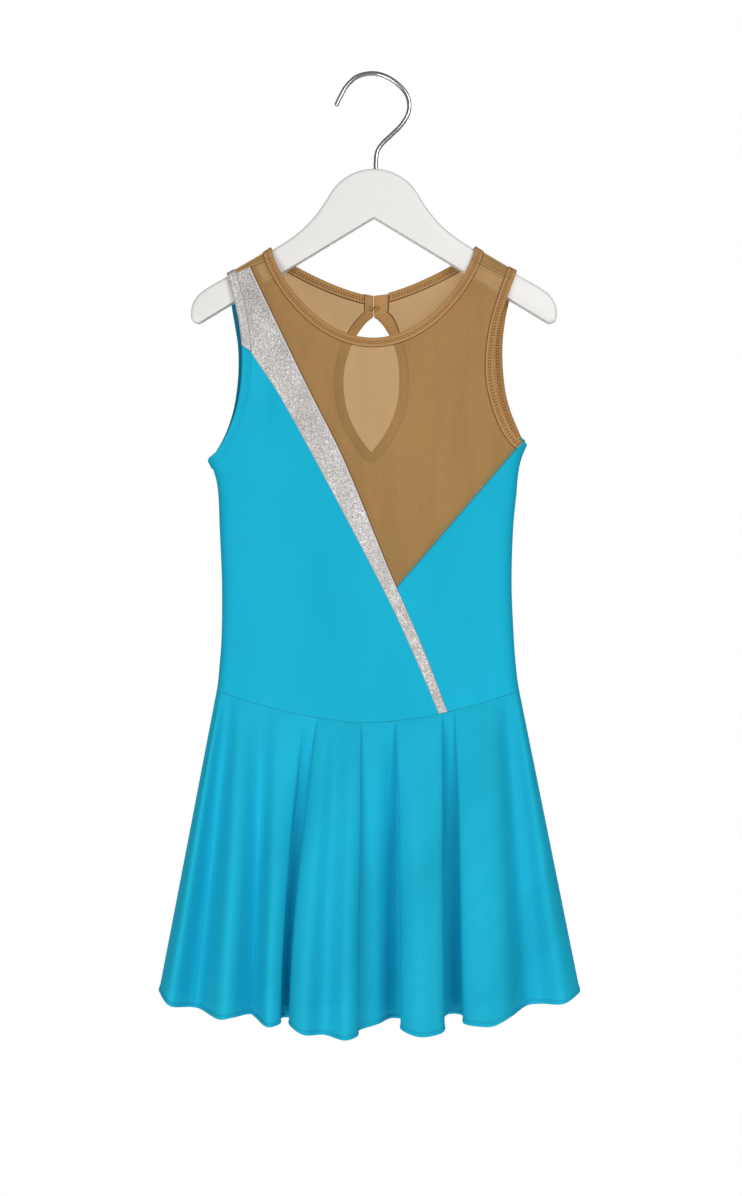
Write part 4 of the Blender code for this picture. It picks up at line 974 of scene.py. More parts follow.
def frontPanels():
    inner = {w: innerArmhole(w, front, tuck) for w in signs}
    shoulder = {w: belowShoulderSeam(w, seamHalf) for w in signs}
    toWaist = aboveWaist(front, seamHalf)
    neck = neckEdge(front, cloth["bandWidth"] + tuck)
    neckLeft = cutCurve([p for p in neck if p[0] <= neckline["middle"]], shoulder["left"])
    neckRight = cutCurve([p for p in neck if p[0] >= neckline["middle"]], shoulder["right"])

    silverRight = silverEdge("right", seamHalf)
    beside = cutCurve(silverRight, shoulder["left"], aboveYokeSeam)
    armhole = cutCurve(inner["right"], shoulder["right"], aboveYokeSeam)[::-1]
    clothPanel("frontYoke", front, [
        beside, straight(beside[-1], armhole[0]), armhole, straight(armhole[-1], neckRight[-1]),
        neckRight[::-1], neckLeft[::-1], straight(neckLeft[0], beside[0]),
    ], tanMesh)

    silverLeft = silverEdge("left", -seamHalf)
    beside = cutCurve(silverEdge("right", -seamHalf), shoulder["left"], toWaist)
    tip = crossing(inner["left"], silverLeft)
    armhole = cutCurve(inner["left"], shoulder["left"], above(tip[1]))
    down = cutCurve(silverLeft, under(tip[1]), toWaist)
    clothPanel("frontSilverBand", front, [
        armhole, down, waistSeam(front, down[-1][0], beside[-1][0], seamHalf), beside[::-1],
        straight(beside[0], armhole[0]),
    ], silverFoil)

    blueRight = silverEdge("left", seamHalf)
    tip = crossing(inner["left"], blueRight)
    armhole = cutCurve(inner["left"], under(tip[1]), insideSideSeam("left", seamHalf))
    beside = cutCurve(blueRight, under(tip[1]), toWaist)
    left = sideSeam("left", armhole[-1][1], atWaist(front, "left"), seamHalf)
    clothPanel("frontMainPanel", front, [
        armhole, left, waistSeam(front, left[-1][0], beside[-1][0], seamHalf), beside[::-1],
    ], turquoiseTricot)

    corner = cutCurve(armholeEdge("right", front), underYokeSeam, insideSideSeam("right", seamHalf))
    beside = cutCurve(silverRight, underYokeSeam, toWaist)
    right = sideSeam("right", atWaist(front, "right"), corner[-1][1], seamHalf)
    clothPanel("frontSidePanel", front, [
        beside, waistSeam(front, beside[-1][0], right[0][0], seamHalf), right, corner[::-1],
        straight(corner[0], beside[0]),
    ], turquoiseTricot)


def backPanels():
    inner = {w: innerArmhole(w, back, tuck) for w in signs}
    shoulder = {w: upToShoulderSeam(w, seamHalf) for w in signs}
    neck = neckEdge(back, cloth["bandWidth"] + tuck)
    necks, holes = {}, {}
    for which, sign in signs.items():
        hole = keyholeOuter(which, tuck)
        half = cutCurve([p for p in neck if sign * p[0] >= 0], shoulder[which])
        meet = crossing(half, hole)
        necks[which] = cutCurve(half, lambda p: sign * (p[0] - meet[0]))
        holes[which] = cutCurve(hole, under(meet[1]))

    tip = crossing(inner["left"], straight(seams["backShoulder"], vee, 40))
    strip = cutCurve(inner["left"], shoulder["left"], above(tip[1]))
    yokeLeft = cutCurve(offsetCurve(straight(tip, vee), seamHalf), aboveYokeSeam)
    armhole = cutCurve(inner["right"], shoulder["right"], aboveYokeSeam)[::-1]
    clothPanel("backYoke", back, [
        strip, yokeLeft[1:], straight(yokeLeft[-1], armhole[0]), armhole,
        straight(armhole[-1], necks["right"][-1], 12), necks["right"][::-1], holes["right"],
        holes["left"][::-1], necks["left"][::-1], straight(necks["left"][0], strip[0], 12),
    ], tanMesh)

    corner = cutCurve(armholeEdge("right", back), underYokeSeam, insideSideSeam("right", seamHalf))
    leftEdge = offsetCurve(straight(tip, vee), -seamHalf)
    armhole = cutCurve(inner["left"], under(tip[1] - 1 * mm), insideSideSeam("left", seamHalf))
    left = sideSeam("left", armhole[-1][1], atWaist(back, "left"), seamHalf)
    right = sideSeam("right", atWaist(back, "right"), corner[-1][1], seamHalf)
    clothPanel("backPanel", back, [
        armhole, left, waistSeam(back, left[-1][0], right[0][0], seamHalf), right, corner[::-1],
        straight(corner[0], (vee[0], vee[1] - seamHalf)), leftEdge[-2:0:-1],
    ], turquoiseTricot)
    return tip


frontPanels()
backTip = backPanels()
print("bodice panels made:", {name: round(area, 4) for name, (_, area) in panels.items()})


# Folded bindings and their stitches

# Section of a binding: share of its width from the fold, share of its thickness.
# It dips where the stitches pull it down.
bindingSection = (
    (0.00, 0.50), (0.01, 0.72), (0.05, 0.90), (0.11, 1.00), (0.30, 0.98), (0.38, 0.95), (0.44, 0.83), (0.50, 0.95),
    (0.57, 0.95), (0.64, 0.83), (0.70, 0.94), (0.78, 0.90), (0.83, 0.84), (0.90, 0.95), (0.96, 0.84), (1.00, 0.52),
    (0.97, 0.22), (0.88, 0.05), (0.50, 0.00), (0.12, 0.00), (0.04, 0.12), (0.01, 0.28),
)
binding = {
    "inside": 0.9 * mm,        # it wraps the panel's edge, so it stands this far in
    "step": 2.5 * mm,
    "stitchPitch": 2.6 * mm,
    "stitchLong": 0.74,        # share of the pitch that shows
    "stitchWide": 0.40 * mm,
    "stitchHigh": 0.16 * mm,
    "rows": (0.44, 0.64),      # where the two rows run, as shares of the width
    "sunk": 0.26 * mm,         # the stitches lie this far in the binding's face
    "zigzag": 0.9 * mm,
    "zigzagPitch": 2.0 * mm,
    "ditchAt": 0.9,            # where the pale line of painted highlight runs, as a share of the width
}
bindingHigh, bindingInside = cloth["bandOut"] / mm, binding["inside"] / mm
wallHalfMm = cloth["wallHalf"] / mm

# Threads, tapes and rolls along a seam, in mm: lift from the cloth's middle, half width, half height. Some are
# painted lines: dark tubes in a seam's groove are painted shade, and pale tubes along an edge are painted
# highlight
seamForms = {
    "ditch": (wallHalfMm + 0.1, 0.3, 0.25),
    "lip": (bindingHigh - 0.25, 0.3, 0.2),
    "ditchInside": (-wallHalfMm - 0.1, 0.35, 0.25),
    "lipInside": (-bindingInside, 0.3, 0.2),
    "thread": (wallHalfMm - 0.3, 0.36, 0.36),
    "tape": (-wallHalfMm - 0.35, 2.6, 0.35),
    "yokeRoll": (wallHalfMm, 0.55, 0.35),
    "silverRoll": (wallHalfMm, 0.55, 0.45),
    "silverDitch": (wallHalfMm - 0.05, 0.35, 0.2),
    "shoulderRoll": (wallHalfMm, 0.34, 0.3),
    "shoulderThread": (wallHalfMm - 0.1, 0.22, 0.2),
}


def bandShares(curve, step):
    lengths = measured(curve)
    close = 0.3 * hanging["ridgeRadius"]
    shares, reached = [0.0], 0.0
    for point, length in zip(curve, lengths):
        near = abs(point[1] - flatRidge(point[0])) < 4 * hanging["ridgeRadius"]
        if length - reached >= (close if near else step):
            shares.append(length / lengths[-1])
            reached = length
    if lengths[-1] - reached < close and len(shares) > 2:
        shares.pop()
    return [*shares, 1.0]


def sewRow(shape, side, curve, pitch, lift, fleckToneAndGlint=0.0, shows=binding["stitchLong"]):
    # stitches one after the other along the curve; swing makes them zigzag
    count = max(round(measured(curve)[-1] / pitch), 1)
    places = atShares(curve, [k / count for k in range(count + 1)])
    lefts = offsetCurve(places, fleckToneAndGlint)
    rights = offsetCurve(places, -fleckToneAndGlint)
    for k in range(count):
        a = lefts[k] if k % 2 else rights[k]
        b = rights[k + 1] if k % 2 else lefts[k + 1]
        b = tuple(p + (q - p) * shows for p, q in zip(a, b))
        (start, up), (end, _) = draped(side, a), draped(side, b)
        way = (end - start).normalized()
        wide = up.cross(way).normalized()
        up = way.cross(wide)
        axes = placeMatrix(way * (end - start).length / 2, wide * binding["stitchWide"],
                           up * binding["stitchHigh"], (start + end) / 2 + up * lift)
        bmesh.ops.create_icosphere(shape, subdivisions=1, radius=1.0, matrix=axes)


def foldedBand(name, side, sheet, free, sewn, cover, thread, zigzag=False, ditch=None, lip=wheatThreadAndHighlight,
               shadedLining=None, stitchRows=binding["rows"], bothFaces=False):
    shares = bandShares(evenly(sewn, 0.4 * mm), binding["step"])
    free, sewn = atShares(free, shares), atShares(sewn, shares)
    lengths = measured(sewn)
    sides, last = len(bindingSection), len(free) - 1
    inside, outside = binding["inside"], cloth["bandOut"]

    def place(u, v):
        across, out = bindingSection[round(u * sides) % sides]
        k = round(v * last)
        flat = tuple(a + (b - a) * across for a, b in zip(free[k], sewn[k]))
        point = draped(side, flat, -inside + (outside + inside) * out)[0]
        return point, (across * cloth["bandWidth"], lengths[k])

    def lineAt(share):
        return [tuple(a + (b - a) * share for a, b in zip(p, q)) for p, q in zip(free, sewn)]

    band = finishPiece(name, closeTube(warpedGrid(sides, last, place)), cover, solid=True, sheet=sheet)
    # faces turned inwards take the darker tricot copy, as painted shade
    if shadedLining:
        band.data.materials.append(shadedLining)
        for face in band.data.polygons:
            face.material_index = 1 if face.normal.y * side < -0.3 else 0
    rows, slot = bmesh.new(), slotOf[cover.name]
    if zigzag:
        middle = lineAt(sum(stitchRows) / len(stitchRows))
        sewRow(rows, side, middle, binding["zigzagPitch"], outside + 0.02 * mm, binding["zigzag"], 1.0)
    else:
        for share in stitchRows:
            for lift in (outside - binding["sunk"], -inside)[:1 + bothFaces]:
                sewRow(rows, side, lineAt(share), binding["stitchPitch"], lift)
    finishPiece(name + "Stitches", rows, thread, slot, sheet=sheet)
    if ditch:
        # a dark line along the seam's groove as painted shade, and a pale line on the band beside it as painted
        # highlight
        edge = lineAt(binding["ditchAt"])
        for end in ("", "Inside")[:1 + bothFaces]:
            seamTube(name + "Ditch" + end, side, sewn, "ditch" + end, ditch, sheet, slot)
            seamTube(name + "Lip" + end, side, edge, "lip" + end, lip, sheet, slot)


def makeBands():
    width, slit = cloth["bandWidth"], keyhole["slitX"]
    tan = tanBinding, tanThreadAndShade
    below = {w: belowShoulderSeam(w, seamHalf) for w in signs}
    pair = (cutCurve(neckEdge(front, inset), lambda p: below["left" if p[0] < 0.0 else "right"](p))
            for inset in (0.0, width))
    foldedBand("neckBandFront", front, "frontYoke", *pair, *tan, ditch=brownThreadAndShade)
    for which, sign in signs.items():
        tab = keyhole["slitHalf"] + width + (keyhole["tabMore"] if sign > 0 else 0.0)
        pair = (cutCurve([p for p in neckEdge(back, inset) if sign * p[0] >= 0],
                         upToShoulderSeam(which, seamHalf), lambda p: sign * (p[0] - slit) - tab)
                for inset in (0.0, width))
        foldedBand("neckBandBack" + which.title(), back, "backYoke", *pair, *tan, ditch=brownThreadAndShade,
                   bothFaces=True)

    edges = {w: keyholeEdge(w) for w in signs}
    outers = {w: cutCurve(keyholeOuter(w), under(neckline[back]["low"] + 1.5 * mm)) for w in signs}
    low, rise = keyhole["tabLow"], keyhole["tabHigh"] - keyhole["tabLow"]
    outers["right"] = [(x + keyhole["tabMore"] * ease((z - low) / rise), z) for x, z in outers["right"]]
    pair = ([*e["left"], *e["right"][::-1][1:]] for e in (edges, outers))
    foldedBand("keyholeBand", back, "backYoke", *pair, *tan, zigzag=True, ditch=tanThreadAndShade, bothFaces=True)

    curves = {(w, s): (armholeEdge(w, s), innerArmhole(w, s)) for w in signs for s in (front, back)}
    leftFront = curves["left", front]
    tipSewn = crossing(leftFront[1], silverEdge("left"))[1]
    tips = tipSewn + 5 * mm, tipSewn
    within = insideSideSeam("left", seamHalf)

    def pastRidge(past):
        return lambda p: flatRidge(p[0]) + past - seamHalf - p[1]

    over = seams["silverOver"]
    pair = (cutCurve(c, pastRidge(over), above(low + seamHalf)) for c, low in zip(leftFront, tips))
    foldedBand("armholeBandSilver", front, "frontSilverBand", *pair, silverFoil, paleThreadAndHighlight, ditch=greyGrooveShade,
               lip=paleThreadAndHighlight, stitchRows=(0.5, 0.72))
    pair = (cutCurve(c, within, under(low - seamHalf)) for c, low in zip(leftFront, tips))
    foldedBand("armholeBandBlueFront", front, "frontMainPanel", *pair, turquoiseTricot, blueThread,
               stitchRows=(0.28, 0.72))
    pair = (cutCurve(c, pastRidge(-over), within) for c in curves["left", back])
    foldedBand("armholeBandBlueBack", back, "backPanel", *pair, turquoiseTricot, darkBlueThreadAndShade,
               shadedLining=tricotPaintedShade)
    for side, name, top in ((front, "Front", belowShoulderSeam), (back, "Back", upToShoulderSeam)):
        pair = (cutCurve(c, top("right", seamHalf), aboveYokeSeam) for c in curves["right", side])
        foldedBand("armholeBandTan" + name, side, name.lower() + "Yoke", *pair, *tan, ditch=brownThreadAndShade,
                   bothFaces=side == back)


makeBands()
print("bindings made")


# Skirt

# Side seam to side seam: place at the waist, then place, depth and height at the hem, and the bow:
# above 1 a fold runs sideways early and then hangs straight, and 1 is left out. Where the place goes
# back, a fold hangs over.
skirtFolds = {
    front: (
        (None, -0.1755, 0.0, -0.7496), (-0.1262, -0.174, 0.008, -0.7502), (-0.1248, -0.164, 0.026, -0.756),
        (-0.1205, -0.15, 0.007, -0.7615), (-0.116, -0.141, 0.008, -0.7632),
        (-0.109, -0.124, 0.037, -0.7638), (-0.103, -0.113, 0.037, -0.7628),
        (-0.093, -0.101, 0.016, -0.7652), (-0.086, -0.096, 0.018, -0.7668, 1.1),
        (-0.0762, -0.0852, 0.04, -0.769, 1.2), (-0.06, -0.0755, 0.033, -0.7684, 1.5),
        (-0.054, -0.077, 0.0195, -0.769, 1.6), (-0.048, -0.0735, 0.01, -0.7694, 1.6),
        (-0.0458, -0.065, 0.015, -0.7694, 1.6), (-0.0445, -0.0675, 0.033, -0.7694, 1.5),
        (-0.038, -0.056, 0.046, -0.774, 1.3), (-0.03, -0.04, 0.036, -0.7765, 1.1),
        (-0.019, -0.024, 0.048, -0.7775), (-0.0113, -0.014, 0.04, -0.7765),
        (-0.0095, -0.0125, 0.026, -0.7755), (0.004, 0.003, 0.02, -0.7722), (0.013, 0.013, 0.005, -0.7716),
        (0.0172, 0.023, 0.002, -0.7728), (0.0182, 0.029, 0.014, -0.773), (0.019, 0.0218, 0.034, -0.7725),
        (0.03, 0.0347, 0.048, -0.7747), (0.043, 0.048, 0.047, -0.774), (0.0535, 0.056, 0.04, -0.7719),
        (0.0555, 0.055, 0.024, -0.769), (0.06, 0.06, 0.01, -0.767), (0.0645, 0.069, 0.009, -0.7668),
        (0.0658, 0.0745, 0.017, -0.7675), (0.0668, 0.0727, 0.031, -0.7688), (0.076, 0.083, 0.039, -0.769),
        (0.085, 0.095, 0.04, -0.7685), (0.097, 0.109, 0.033, -0.763), (0.106, 0.124, 0.01, -0.76),
        (0.1115, 0.137, 0.011, -0.758), (0.116, 0.153, 0.022, -0.7555), (0.119, 0.166, 0.01, -0.7502),
        (None, 0.1681, 0.0, -0.7496),
    ),
    back: (
        (None, -0.1755, 0.0, -0.7496), (-0.1262, -0.174, 0.006, -0.7502), (-0.119, -0.16, 0.015, -0.7555),
        (-0.106, -0.14, 0.012, -0.761), (-0.095, -0.12, 0.017, -0.764), (-0.082, -0.101, 0.037, -0.7685),
        (-0.07, -0.084, 0.038, -0.7695), (-0.058, -0.07, 0.016, -0.7675, 1.1),
        (-0.05, -0.062, 0.01, -0.767, 1.1), (-0.043, -0.048, 0.018, -0.769),
        (-0.031, -0.038, 0.043, -0.773), (-0.016, -0.018, 0.044, -0.773), (-0.002, 0.0, 0.016, -0.7695),
        (0.008, 0.008, 0.01, -0.7685), (0.018, 0.019, 0.018, -0.7695), (0.029, 0.031, 0.041, -0.7725),
        (0.042, 0.049, 0.042, -0.773), (0.054, 0.066, 0.016, -0.767), (0.062, 0.074, 0.01, -0.7665),
        (0.072, 0.086, 0.02, -0.7675), (0.082, 0.101, 0.037, -0.7685), (0.09, 0.115, 0.033, -0.767),
        (0.1, 0.135, 0.013, -0.762), (0.111, 0.154, 0.015, -0.756), (0.119, 0.1668, 0.006, -0.7502),
        (None, 0.1681, 0.0, -0.7496),
    ),
}
skirt = {
    "columnsPerRow": 9,
    "rows": 90,
    "hemHalf": 1.1 * mm,
    "hemHigh": 3.0 * mm,
    "hemPitch": 2.4 * mm,
    "ripple": 1.2 * mm,        # soft unevenness of the folds
    "meanDepth": 24 * mm,
    "early": 0.65,             # below 1 the folds show soon below the waist
}


def foldAt(side, place):
    # place counts the rows of the fold table; the ends lie on the side seams
    rows = [[*row, 1.0][:5] for row in skirtFolds[side]]
    for k, which in ((0, "left"), (-1, "right")):
        rows[k][0] = sideAlong(which, seams["waistSide"]) - signs[which] * seamHalf
    k = min(int(place), len(rows) - 2)
    t = place - k
    b, c = rows[k], rows[k + 1]
    a = rows[k - 1] if k else [2 * p - q for p, q in zip(b, c)]
    d = rows[k + 2] if k + 2 < len(rows) else [2 * p - q for p, q in zip(c, b)]
    return [0.5 * (2 * q + (r - p) * t + (2 * p - 5 * q + 4 * r - s) * t**2 + (3 * q - p - 3 * r + s) * t**3)
            for p, q, r, s in zip(a, b, c, d)]


def skirtPoint(side, place, share):
    along, x, depth, low, bow = foldAt(side, place)
    top = clothPoint(side, along, waistHeight(side, along) - seamHalf)
    bottom = Vector((x, side * max(depth, seamHalf), low))
    point = top.lerp(bottom, share)
    point.x = top.x + (x - top.x) * (1 - (1 - share) ** bow)
    atSeam = min(place, len(skirtFolds[side]) - 1 - place)
    relief = depth - skirt["meanDepth"] * ease(atSeam / 5)
    point.y += side * relief * (share ** skirt["early"] - share)
    loose = ease(atSeam / 3) * ease(share / 0.25) * skirt["ripple"]
    point.y += side * loose * noise.noise(Vector((along * 45, share * 2.2, 5.0 * side)))
    point.x += loose * noise.noise(Vector((along * 30, share * 1.7, 9.0 * side)))
    return point


def skirtNormal(side, place, share):
    last = len(skirtFolds[side]) - 1.0
    a, b = max(place - 0.02, 0.0), min(place + 0.02, last)
    across = skirtPoint(side, b, share) - skirtPoint(side, a, share)
    down = skirtPoint(side, place, share) - skirtPoint(side, place, share - 0.01)
    return across.cross(down).normalized() * side


def makeSkirt(name, side):
    last = len(skirtFolds[side]) - 1
    columns = last * skirt["columnsPerRow"]
    waist, hem = ([skirtPoint(side, last * k / columns, share) for k in range(columns + 1)]
                  for share in (0.0, 1.0))
    around = measured(hem)

    def place(u, v):
        k, share = round(u * columns), 1.0 - v
        across = around[k] * (0.55 + 0.45 * share)      # the map narrows towards the waist
        return skirtPoint(side, last * u, share), (across, -share * (waist[k] - hem[k]).length)

    shape = warpedGrid(columns, skirt["rows"], place)
    if side == front:
        bmesh.ops.reverse_faces(shape, faces=shape.faces)
    for edge in shape.edges:
        edge.smooth = not edge.is_boundary
    high = max((a - b).length for a, b in zip(waist, hem))
    panels[name] = (around[-1], high), sum(f.calc_area() for f in shape.faces)
    finishPiece(name, shape, skirtTricot, solid=True, wall=2 * cloth["wallHalf"])

    # the rolled hem, with the stitch line above it
    length = abs(seams["waistSide"] - hem[0].z)
    middle = 1.0 - skirt["hemHigh"] / 2 / length
    places = [last * k / (2 * columns) for k in range(2 * columns + 1)]
    route = [skirtPoint(side, p, middle) for p in places]
    drops = [(skirtPoint(side, p, 1.0) - point).normalized() for p, point in zip(places, route)]
    shape = tube(route, drops, skirt["hemHalf"], skirt["hemHigh"] / 2 + 0.2 * mm, 12)
    finishPiece(name + "Hem", shape, skirtTricot, sheet=name)
    rows = bmesh.new()
    count = round(around[-1] / skirt["hemPitch"])
    line = 1.0 - (skirt["hemHigh"] + 0.5 * mm) / length
    for k in range(count):
        a, b = (skirtPoint(side, last * (k + s) / count, line) for s in (0.0, 0.7))
        out = skirtNormal(side, last * k / count, line)
        way = (b - a).normalized()
        wide = out.cross(way).normalized()
        out = way.cross(wide)
        axes = placeMatrix(way * (b - a).length / 2, wide * 0.25 * mm, out * 0.3 * mm,
                           (a + b) / 2 + out * (cloth["wallHalf"] + 0.1 * mm))
        bmesh.ops.create_icosphere(rows, subdivisions=1, radius=1.0, matrix=axes)
    finishPiece(name + "HemStitches", rows, blueThread, "turquoise_skirt", sheet=name)


makeSkirt("skirtFront", front)
makeSkirt("skirtBack", back)
print("skirt made:", round(panels["skirtFront"][1], 4), round(panels["skirtBack"][1], 4), "square metres")


# Seams: the overlocked allowance behind them, and the thread or rolled edge in the joint; some of these are dark
# lines of painted shade and pale lines of painted highlight

ridgeClear = 1.0 * mm          # the shoulder's allowance stops this far below the ridge


def shoulderSeam(which):
    # the allowance turned up under the yoke between the seam and the ridge, and the seam's two threads
    sign, name = signs[which], "shoulder" + which.title()
    neck, armhole = neckEdge(front, cloth["bandWidth"]), innerArmhole(which, front)
    reach = 50 * mm, neckline["half"], seams["shoulderOut"], 140 * mm

    def heightAt(x, share):
        return flatRidge(x) - seamDrop(which, x) * (1 - share) - ridgeClear * share

    def across(share):
        line = [(sign * x, heightAt(x, share)) for x in reach]
        return crossing(neck, line), crossing(armhole, line)

    def place(u, v):
        start, end = across(round(v * 6) / 6)
        along = start[0] + (end[0] - start[0]) * u
        flat = (along, heightAt(along, v))
        return draped(front, flat, -cloth["wallHalf"] - 0.15 * mm)[0], flat

    facing = warpedGrid(24, 6, place)
    if sign > 0:
        bmesh.ops.reverse_faces(facing, faces=facing.faces)
    finishPiece(name + "Facing", facing, tanMesh, wall=0.2 * mm, sheet="frontYoke")
    line = [(x, flatRidge(x) - seamDrop(which, x)) for x, _ in straight(*across(0.0))]
    seamTube(name + "Roll", front, line, "shoulderRoll", wheatThreadAndHighlight, "frontYoke", "tan_mesh")
    lower = [(x, z - 0.8 * mm) for x, z in line]
    seamTube(name + "Thread", front, lower, "shoulderThread", tanThreadAndShade, "frontYoke", "tan_mesh")


def makeSeams():
    toWaist = aboveWaist(front, 0.5 * mm)
    silverRight = cutCurve(silverEdge("right"), belowShoulderSeam("left", 0.0))
    besideYoke = cutCurve(silverRight, above(vee[1]))
    belowVee = cutCurve(silverRight, under(vee[1]), toWaist)
    tip = crossing(innerArmhole("left", front), silverEdge("left"))
    silverLeft = cutCurve(silverEdge("left"), under(tip[1]), toWaist)
    underRight = cutCurve(straight(vee, yokeSide, 60), insideSideSeam("right", 1.0 * mm))
    backLeft = straight(backTip, vee, 60)

    def sew(rows):
        for sheet, name, form, curve, material, slot in rows:
            side = back if "back" in sheet.lower() else front
            seamTube(name, side, curve, form, material, sheet, slot)

    sew((
        ("frontYoke", "yokeSeamThread", "thread", underRight, brownThreadAndShade, "tan_mesh"),
        ("frontYoke", "yokeSeamRoll", "yokeRoll", offsetCurve(underRight, -0.9 * mm), turquoiseTricot, None),
        ("frontYoke", "yokeSeamTape", "tape", underRight, turquoiseTricot, None),
        ("frontYoke", "silverYokeTape", "tape", offsetCurve(besideYoke, 1.4 * mm), tanBinding, None),
    ))
    shoulderSeam("left")
    shoulderSeam("right")
    sew((
        # a pale roll on the silver's edge as painted highlight, and a tan line on the mesh beside it as painted
        # shade
        ("frontSilverBand", "silverYokeRoll", "silverRoll", offsetCurve(besideYoke, -0.4 * mm), paleThreadAndHighlight,
         "silver"),
        ("frontSilverBand", "silverYokeDitch", "silverDitch", offsetCurve(besideYoke, 0.4 * mm), tanThreadAndShade,
         "tan_mesh"),
        # a dark blue line along the silver's edge below the vee: painted shade
        ("frontSilverBand", "silverSideThread", "thread", belowVee, darkBlueThreadAndShade, "turquoise"),
        ("frontSilverBand", "silverMainThread", "thread", silverLeft, roseThread, "silver"),
        ("frontSilverBand", "silverMainTape", "tape", silverLeft, turquoiseTricot, None),
        ("frontSilverBand", "silverSideTape", "tape", belowVee, turquoiseTricot, None),
        ("backPanel", "backYokeThread", "thread", underRight, brownThreadAndShade, "tan_mesh"),
        ("backPanel", "backYokeTape", "tape", underRight, turquoiseTricot, None),
        ("backPanel", "backYokeLeftThread", "thread", backLeft, brownThreadAndShade, "tan_mesh"),
        ("backPanel", "backYokeLeftTape", "tape", backLeft, turquoiseTricot, None),
    ))
    ends = [sideAlong(w, seams["waistSide"]) for w in signs]
    for side, name in ((front, "Front"), (back, "Back")):
        waist = waistSeam(side, *ends, 0.0)
        sew((
            ("skirt" + name, "waistThread" + name, "thread", waist, darkBlueThreadAndShade, "turquoise"),
            ("skirt" + name, "waistTape" + name, "tape", waist[3:-3], turquoiseTricot, None),
        ))
    for which, sign in signs.items():
        seam = sideSeam(which, underarm[which] - 1 * mm, seams["waistSide"] + 1 * mm, 0.0)
        points = [clothPoint(front, *p) for p in seam]
        route = [Vector((p.x - sign * 0.15 * mm, 0.0, p.z)) for p in points]
        shape = tube(route, [Vector((sign, 0.0, 0.0))] * len(route), 0.4 * mm, 0.5 * mm)
        finishPiece("sideSeam" + which.title(), shape, darkBlueThreadAndShade, "turquoise", sheet="frontMainPanel")


makeSeams()
print("seams made")


# Hook and eye behind the neck

closure = {
    "height": -188.1 * mm,
    "wireHalf": 0.4 * mm,
    "closureEye": (-3.8 * mm, -0.2 * mm, 1.4 * mm),     # from, to, half height
    "closureHook": (0.8 * mm, 4.4 * mm, 1.2 * mm),
}
loop = ((0.0, 0.6), (0.2, 1.0), (0.8, 0.9), (1.0, 0.0), (0.8, -0.9), (0.2, -1.0), (0.0, -0.6))

wire = closure["wireHalf"]
for name in ("closureEye", "closureHook"):
    start, end, half = closure[name]
    points = [(start + (end - start) * a, closure["height"] + half * h, 0.0) for a, h in loop]
    flat = through(points, 6)
    route, ups = onCloth(back, [p[:2] for p in flat], -(cloth["wallHalf"] + 0.3 * mm + wire))
    finishPiece(name, tube(route, ups, wire, wire, 10), closureWire, solid=True, sheet="backYoke")
print("closure made")


# Each panel's flat size and area, and the pieces sewn to it, are looked up here; nothing further is done with them

# the silver band is 34 mm wide at the shoulder and 8 mm at the waist, and as long as its cut
silverCut = cutCurve(silverEdge("left"), belowShoulderSeam("left", 0.0), aboveWaist(front, 0.0))
panels["frontSilverBand"] = (34 * mm, measured(silverCut)[-1]), panels["frontSilverBand"][1]
for name, restsOn in {
    "frontYoke": "hangerBoard", "frontSilverBand": "hangerBoard", "frontMainPanel": "frontSilverBand",
    "frontSidePanel": "frontYoke", "backYoke": "hangerBoard", "backPanel": "backYoke",
    "skirtFront": "frontMainPanel", "skirtBack": "backPanel",
}.items():
    flat, area = panels[name]
    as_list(sewnTo[name])


# Floor, light and camera

studio = {
    "floorHeight": -1.2,
    "floorHalf": 0.68,
    "ambient": 0.24,
    "key": 23.5,
    "fill": 20.5,
    "behind": 17.0,
    "lightAim": -0.42,
    "lens": 47.72,
    "distance": 1.3,
    "aim": (-0.00246, -0.4282),
}


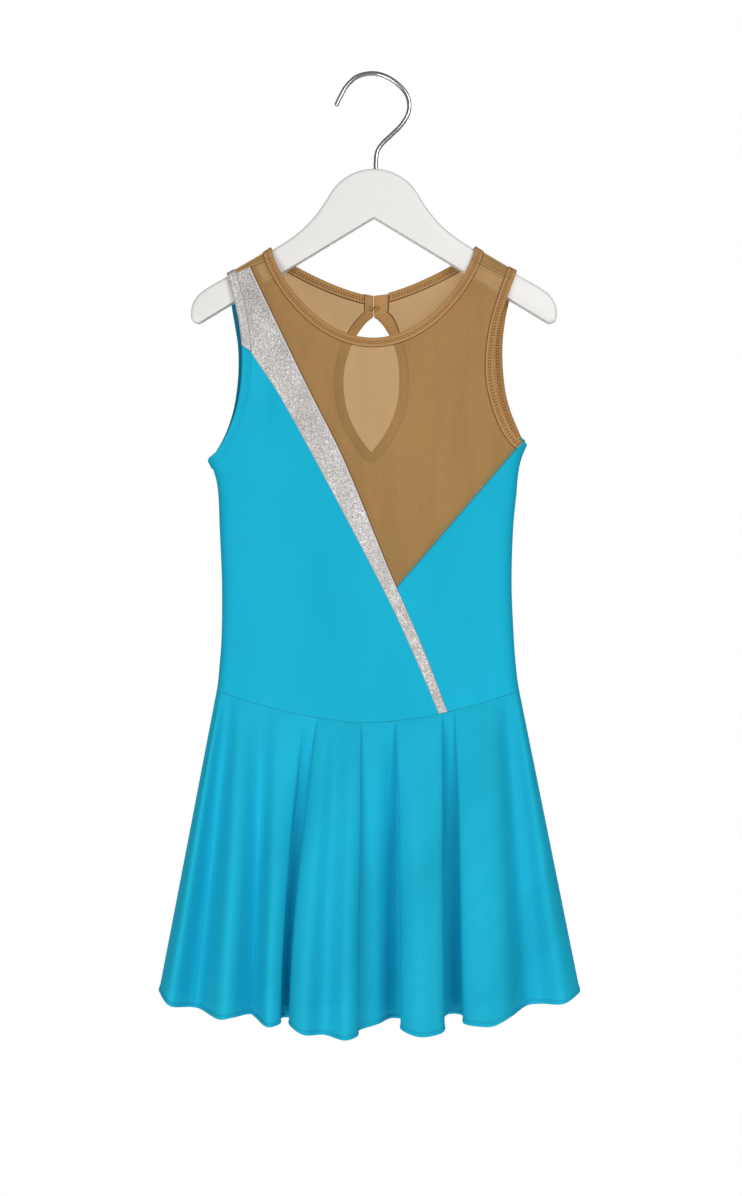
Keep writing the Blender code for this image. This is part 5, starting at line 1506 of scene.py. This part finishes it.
def makeFloor():
    shape = bmesh.new()
    bmesh.ops.create_grid(shape, x_segments=4, y_segments=4, size=studio["floorHalf"])
    bmesh.ops.translate(shape, verts=shape.verts, vec=(0.0, 0.0, studio["floorHeight"]))
    mesh = bpy.data.meshes.new("floor")
    shape.to_mesh(mesh)
    shape.free()
    made, tree, shader = startMaterial("Matt white studio board", {"Roughness": 0.9})
    place = addNode(tree, "TexCoord").outputs["Object"]
    cloud = addNode(tree, "TexNoise", {"Vector": place, "Scale": 3.0, "Detail": 2.0})
    colour = addNode(tree, "ValToRGB", {"Fac": cloud}, ((0.0, "#f2f1ef"), (1.0, "#f6f5f4")))
    feed(tree, shader, {"Base Color": colour})
    mesh.materials.append(made)
    addObject("floor", mesh)


def makeWorld():
    world = bpy.data.worlds.new("Studio")
    bpy.context.scene.world = world
    world.use_nodes = True
    tree = world.node_tree
    tree.nodes.clear()
    direction = addNode(tree, "TexCoord").outputs["Generated"]
    height = addNode(tree, "SeparateXYZ", {0: direction}).outputs[2]
    ramp = addNode(tree, "MapRange", {"Value": height, "From Min": -1.0, "From Max": 1.0,
                                      "To Min": 1.4 * studio["ambient"], "To Max": 0.7 * studio["ambient"]})
    soft = addNode(tree, "Background", {"Color": (1.0, 1.0, 1.0, 1.0), "Strength": ramp})
    white = addNode(tree, "Background", {"Color": (1.0, 1.0, 1.0, 1.0), "Strength": 1.0})
    seen = addNode(tree, "LightPath").outputs["Is Camera Ray"]
    both = addNode(tree, "MixShader", {0: seen, 1: soft, 2: white})
    addNode(tree, "OutputWorld", {"Surface": both})


def makeLight(name, place, size, power):
    data = bpy.data.lights.new(name, "AREA")
    data.shape, data.size, data.size_y, data.energy = "RECTANGLE", size, size, power
    light = addObject(name, data, place)
    towards = Vector((0.0, 0.0, studio["lightAim"])) - Vector(place)
    light.rotation_euler = towards.to_track_quat("-Z", "Y").to_euler()


def makeCamera():
    data = bpy.data.cameras.new("Camera")
    data.lens, data.sensor_width = studio["lens"], 36.0
    camera = addObject("Camera", data, (studio["aim"][0], -studio["distance"], studio["aim"][1]))
    camera.rotation_euler = (math.radians(90), 0.0, 0.0)
    bpy.context.scene.camera = camera


makeFloor()
makeWorld()
makeLight("keyLight", (0.95, -1.9, 0.5), 1.1, studio["key"])
makeLight("fillLight", (-0.95, -1.7, -1.3), 1.1, studio["fill"])
makeLight("backLight", (0.3, 1.9, 0.4), 1.4, studio["behind"])
makeCamera()
bpy.context.scene.view_settings.view_transform = "Standard"
print("floor, light and camera set")
